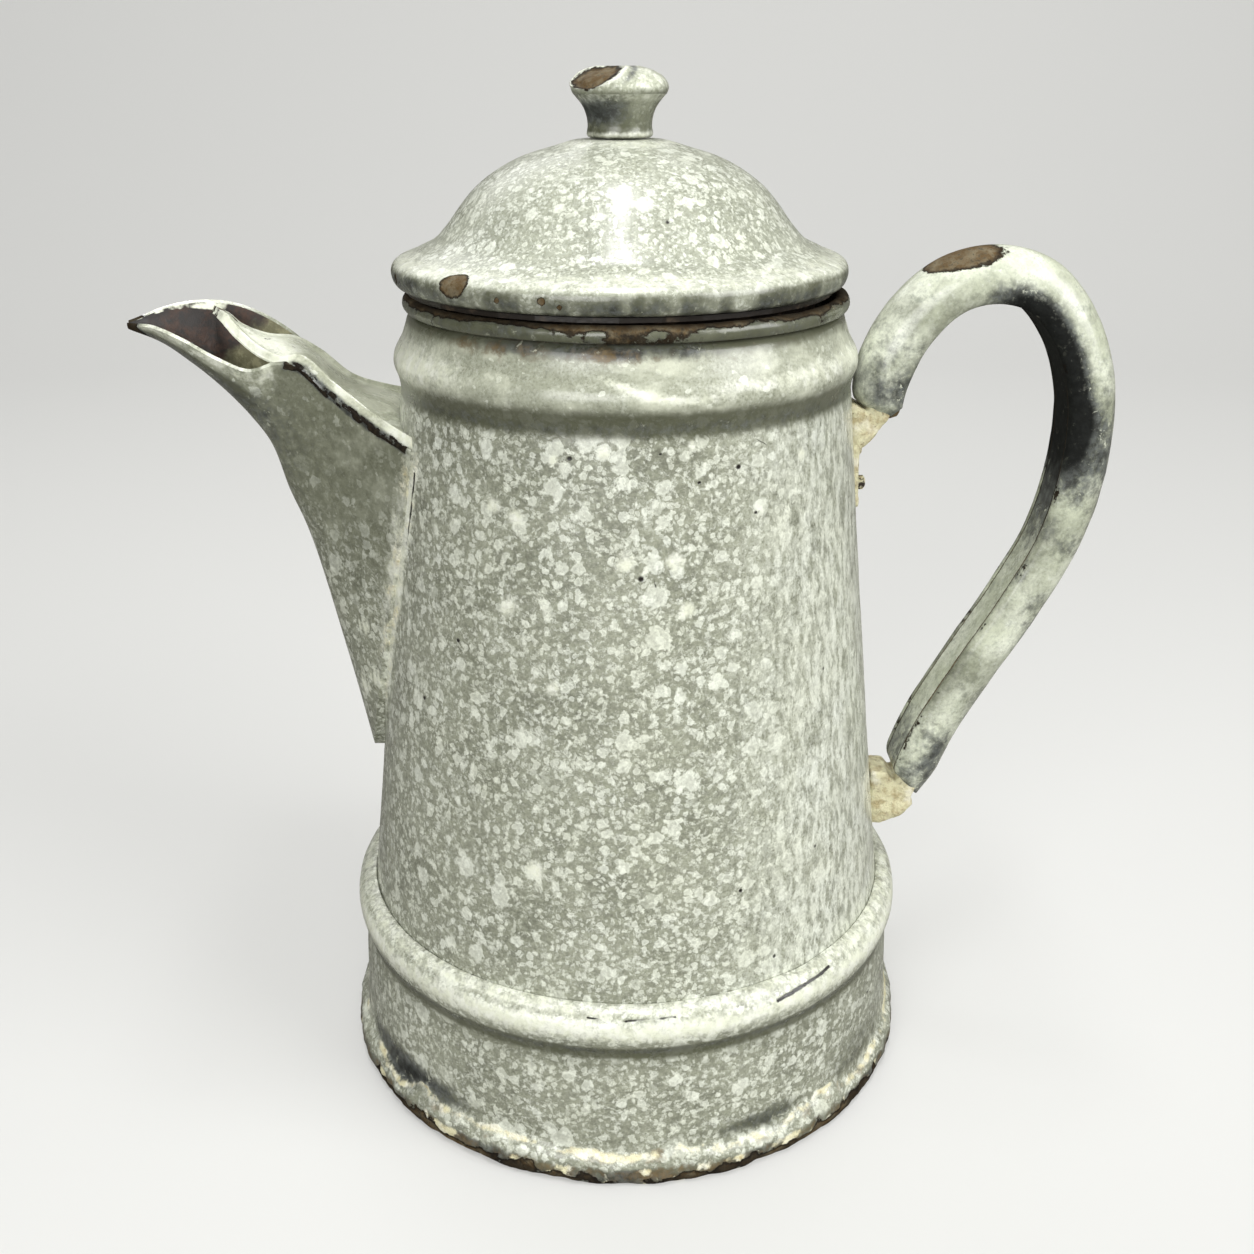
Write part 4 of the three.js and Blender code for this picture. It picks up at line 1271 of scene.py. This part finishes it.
def softened_block(outline, width):
    """Points and faces of a plate in the XZ plane, remeshed finely with its corners rounded off."""
    count = len(outline)
    points = [(x, side * width / 2, z) for side in (-1, 1) for x, z in outline]
    faces = [tuple(range(count)), tuple(range(2 * count - 1, count - 1, -1))]
    faces += [(k, k + count, (k + 1) % count + count, (k + 1) % count) for k in range(count)]
    mesh = bpy.data.meshes.new("raw")
    mesh.from_pydata((np.array(points) * MM).tolist(), [], faces)
    raw = bpy.data.objects.new("raw", mesh)
    bpy.context.scene.collection.objects.link(raw)
    remesh = raw.modifiers.new("remesh", "REMESH")
    remesh.mode = "VOXEL"
    remesh.voxel_size = 0.4 * MM
    soften = raw.modifiers.new("soften", "SMOOTH")
    soften.factor = 0.6
    soften.iterations = 8
    made = bpy.data.meshes.new_from_object(raw.evaluated_get(bpy.context.evaluated_depsgraph_get()))
    bpy.data.objects.remove(raw)
    place = np.array([v.co for v in made.vertices]) / MM
    normal = np.array([v.normal for v in made.vertices])
    faces = [tuple(p.vertices) for p in made.polygons]
    bpy.data.meshes.remove(made)
    return place, normal, faces


def bracket(name, outline, seed, node):
    """A bracket under its rough crust of enamel."""
    points, normal, faces = softened_block(outline, BRACKET_WIDTH)
    points += normal * (0.35 * lumps(points, 2.6, seed, 3))[:, None]
    material = crust_enamel(name + "_enamel")
    make_piece(name, points, faces, material, blank(points), node)


bracket("upper_bracket_crust", UPPER_BRACKET, 71, "handle_upper_bracket")
bracket("lower_bracket_crust", LOWER_BRACKET, 72, "handle_lower_bracket")


# ---- lid ---------------------------------------------------------

# Angle in degrees, height over the brim's foot and radius, in mm.
BRIM_PITS = ((-168, 3.2, 1.3), (-160, 2.4, 1.1), (-107, 2.6, 0.8), (-103, 1.6, 0.6), (-118, 2.2, 0.6))


def lid_outline():
    """The curled brim, the slope and the dome, from outside in."""
    z0 = BRIM_Z
    line = curve_through(
        [(BRIM_R - 3.4, z0 + 0.05), (BRIM_R - 1.6, z0), (BRIM_R - 0.6, z0 + 0.7), (BRIM_R - 0.15, z0 + 1.7),
         (BRIM_R, z0 + 3), (BRIM_R - 0.4, z0 + 4.2), (BRIM_R - 1.6, z0 + 5.1), (BRIM_R - 3.4, z0 + 5.7),
         (40.8, z0 + 6.6), (37.4, z0 + 8.3), (34.6, z0 + 11.1), (31.4, z0 + 15.2), (28.4, z0 + 18.4),
         (24.4, z0 + 21.3), (19.4, z0 + 23.8), (13.4, z0 + 25.7), (8.6, DOME_TOP - 0.1), (5, DOME_TOP),
         (2.4, DOME_TOP)], 0.6)
    return sheet_outline(line)


def on_brim(turn, r, height):
    """A point at an angle round the lid's own axis, and at a height over the brim's foot."""
    a = math.radians(turn)
    return (LID_X + r * math.cos(a), r * math.sin(a), BRIM_Z + height)


def lid_dome():
    steps = 360
    outline = lid_outline()
    points, angle = turned_grid(outline, steps, LID_X)
    z = points[:, 2].copy()
    out = radial(points, LID_X)
    swell = 0.22 * lumps(points, 26, 81) + 0.1 * lumps(points, 9, 82)
    swell *= smooth(z, DOME_TOP, DOME_TOP - 4)
    points += out * swell[:, None]
    chip = spot(points, on_brim(-131, 45.2, 3.9), (3.6, 3.2, 2.3))
    for turn, height, size in BRIM_PITS:
        chip = np.maximum(chip, spot(points, on_brim(turn, 45.9, height), (size,) * 3))
    points -= out * (0.3 * smooth(chip, -0.1, 0.25))[:, None]

    over_brim = z - BRIM_Z
    a = blank(points)
    a.chip = chip
    a.calm = 0.3 * smooth(over_brim, 8, 4)
    smear = 0.6 * lumps(points * [1, 1, 0.3], 5, 84) + 0.7 * lumps(points * [1, 1, 0.25], 2.2, 85)
    # Cream on the brim's ridge, brightened as a painted highlight.
    a.cream = 0.55 * hump(over_brim, 5.3, 2.6) + 0.3 * smear * hump(over_brim, 6.5, 3)
    a.cream += 0.6 * hump(z, DOME_TOP - 0.4, 1.6)
    # Painted shade on the brim's lower half, streaked with darker smears.
    a.shade = (0.8 + 0.7 * smear) * smooth(over_brim, 4.7, 3.2)
    a.dark = (0.5 + 0.6 * smear) * smooth(over_brim, 4.0, 1.4)
    a.dark += 0.5 * hump(over_brim, 3, 2.5) * facing(angle, -155, 25)
    faces = ring_faces(steps, len(outline))
    pale, dark = srgb(160, 163, 147), srgb(142, 145, 130)
    material = granite_enamel("granite_lid", base=pale, base_dark=dark, grain=0.66)
    make_piece("lid_cover", points, faces, material, a, "lid_dome")


KNOB_STEPS = 160


def knob_neck():
    z0 = NECK_LOW[2]
    line = curve_through(
        [(2.4, z0), (6.0, z0), (6.5, z0 + 0.5), (6.3, z0 + 2), (6.5, z0 + 3.8), (7.2, z0 + 5.6),
         (8.7, z0 + 7.5), (9.1, z0 + 7.9)], 0.3)
    outline = sheet_outline(line, 0.8)
    points = turned_grid(outline, KNOB_STEPS, LID_X)[0]
    x, _, z = points.T
    a = blank(points)
    a.calm = np.full(len(points), 0.6)
    # Painted shade on the left of the spool, darkest halfway up.
    a.dark = 1.15 * hump(z, z0 + 5, 4.8) * smooth(x, LID_X + 5, LID_X - 3)
    a.shade = 0.6 + 0.6 * smooth(x, LID_X + 4, LID_X - 3)
    a.cream = 0.7 * hump(z, z0 + 0.6, 1.2) + 0.4 * smooth(z, z0 + 5.5, z0 + 7.5)
    material = granite_enamel("granite_knob", base=srgb(120, 124, 106), grain=0.6)
    faces = ring_faces(KNOB_STEPS, len(outline))
    make_piece("knob_spool", points, faces, material, a, "knob_neck")


def knob_cap():
    z1 = KNOB_LOW[2]
    line = curve_through(
        [(8.4, z1), (KNOB_R - 0.5, z1 - 0.3), (KNOB_R, z1 + 0.7), (KNOB_R - 0.2, z1 + 1.8),
         (KNOB_R - 1.4, z1 + 3.3), (KNOB_R - 3.6, z1 + 4.3), (3, KNOB_TOP), (0.4, KNOB_TOP)], 0.3)
    outline = sheet_outline(line, 0.8)
    points = turned_grid(outline, KNOB_STEPS, LID_X)[0]
    crater = spot(points, (LID_X - 4.2, -3.6, KNOB_TOP - 1.9), (5.6, 5.8, 3.2))
    outside = points[:, 2] > z1 + 0.9
    dip = smooth(crater, -0.05, 0.25) * outside
    lip = hump(crater, -0.12, 0.14) * outside
    away = radial(points, LID_X) * 0.7 + [0, 0, 0.7]
    points += away * (0.45 * lip - 0.9 * dip)[:, None]
    points += away * (0.4 * lumps(points, 5, 91) * smooth(points[:, 2], z1, z1 + 1.5))[:, None]
    points[:, 2] = np.minimum(points[:, 2], KNOB_TOP)
    x, _, z = points.T
    a = blank(points)
    a.chip = crater
    a.calm = np.full(len(points), 0.3)
    a.cream = 0.6 * lip + 0.35 * smooth(x, LID_X, LID_X + 5) * outside
    a.dark = 0.85 * hump(crater, -0.35, 0.2) * smooth(x, LID_X - 1, LID_X + 3) * outside
    # Painted shade on the cap's underside.
    a.shade = 0.75 * smooth(z, z1 + 1.4, z1 - 0.2)
    material = granite_enamel("granite_cap", base=srgb(176, 180, 160), grain=0.6)
    faces = ring_faces(KNOB_STEPS, len(outline))
    make_piece("knob_top", points, faces, material, a, "knob_cap")


lid_dome()
knob_neck()
knob_cap()


# ---- frame parts that keep their shape ---------------------------


def refinish(node, material):
    slots = frame["nodes"][node].data.materials
    slots.clear()
    slots.append(material)


refinish("bottom_plate", granite_enamel("granite_bottom"))
refinish("lid_collar", collar_painted_shadow())
for hidden in ("rim_wire", "knob_rivet", "knob_washer"):
    refinish(hidden, bare_steel("steel_" + hidden))
for rivet in ("handle_upper_rivet_high", "handle_upper_rivet_low", "handle_lower_rivet"):
    refinish(rivet, crust_enamel("cream_" + rivet))


# ---- stage, lights and camera ------------------------------------


def studio_bowl():
    """A plain pale floor that curves up into a wall all the way round."""
    centre_y, floor_r, bend, wall_top, steps = -0.7, 1.5, 0.8, 3.4, 96
    line = [(0.02, 0.0), (floor_r * 0.5, 0.0), (floor_r, 0.0)]
    for a in np.linspace(0.1, math.pi / 2, 16):
        line.append((floor_r + bend * math.sin(a), bend - bend * math.cos(a)))
    line.append((floor_r + bend, wall_top))
    turns = np.linspace(0, 2 * math.pi, steps, endpoint=False)
    points = [(r * math.cos(a), centre_y + r * math.sin(a), z) for r, z in line for a in turns]
    faces = ring_faces(len(line), steps, closed_rings=False, flip=True)
    faces.append(tuple(range(steps)))
    mesh = bpy.data.meshes.new("studio_bowl")
    mesh.from_pydata(points, [], faces)
    mesh.shade_smooth()
    mesh.materials.append(studio_paper())
    floor = bpy.data.objects.new("studio_bowl", mesh)
    bpy.context.scene.collection.objects.link(floor)


def studio_paper():
    """Pale paper that looks evenly lit to the camera and throws back a little less on the pot."""
    g = Graph("studio_paper")
    seen = g.node("LightPath").outputs["Is Camera Ray"]
    paper = g.node("BsdfDiffuse")
    g.feed(paper.inputs["Color"], g.mix(seen, srgb(132, 131, 125), srgb(218, 218, 215)))
    even = g.node("Emission")
    g.feed(even.inputs["Color"], srgb(234, 234, 231))
    mixed = g.node("MixShader")
    g.feed(mixed.inputs[0], g.mul(seen, 0.4))
    g.feed(mixed.inputs[1], paper.outputs[0])
    g.feed(mixed.inputs[2], even.outputs[0])
    g.feed(g.node("OutputMaterial").inputs["Surface"], mixed.outputs[0])
    return g.material


def softbox(name, place, aim, width, height, power):
    light = bpy.data.lights.new(name, "AREA")
    light.shape = "RECTANGLE"
    light.size = width
    light.size_y = height
    light.energy = power
    light.spread = math.radians(110)
    lamp = bpy.data.objects.new(name, light)
    lamp.location = place
    lamp.rotation_euler = (Vector(aim) - Vector(place)).to_track_quat("-Z", "Y").to_euler()
    bpy.context.scene.collection.objects.link(lamp)


def lights():
    """Softboxes above, beside, before and behind the pot, one on the backdrop, and dim air."""
    middle = (CAD_LOW + CAD_HIGH) / 2
    softbox("top", (0.0, -0.1, 1.15), middle, 0.16, 0.8, 2.8)
    softbox("right", (1.05, -0.6, 0.7), middle, 0.8, 0.9, 5.8)
    softbox("front", (-0.4, -1.2, 0.5), middle, 0.9, 0.7, 5.0)
    softbox("backdrop", (0.3, 0.5, 1.7), (0.25, 1.6, 0.6), 1.6, 0.4, 6.2)
    softbox("back", (-0.5, 1.5, 0.95), middle, 2.2, 1.6, 7.0)
    world = bpy.data.worlds.new("studio_air")
    world.use_nodes = True
    air = world.node_tree.nodes["Background"]
    air.inputs["Color"].default_value = (0.97, 0.98, 1.0, 1)
    air.inputs["Strength"].default_value = 0.42
    bpy.context.scene.world = world


def camera():
    """The photograph's view: a little above the pot, close, looking down at its middle."""
    distance, height, pitch, width_degrees = 0.2791, 0.2154, 22.63, 50.2
    data = bpy.data.cameras.new("view")
    data.sensor_width = 36
    data.lens = data.sensor_width / 2 / math.tan(math.radians(width_degrees / 2))
    data.clip_start = 0.01
    made = bpy.data.objects.new("view", data)
    made.location = (0.0002, -distance, height)
    made.rotation_euler = (math.radians(90 - pitch), 0, 0)
    bpy.context.scene.collection.objects.link(made)
    bpy.context.scene.camera = made


studio_bowl()
lights()
camera()
bpy.context.scene.view_settings.view_transform = "Standard"
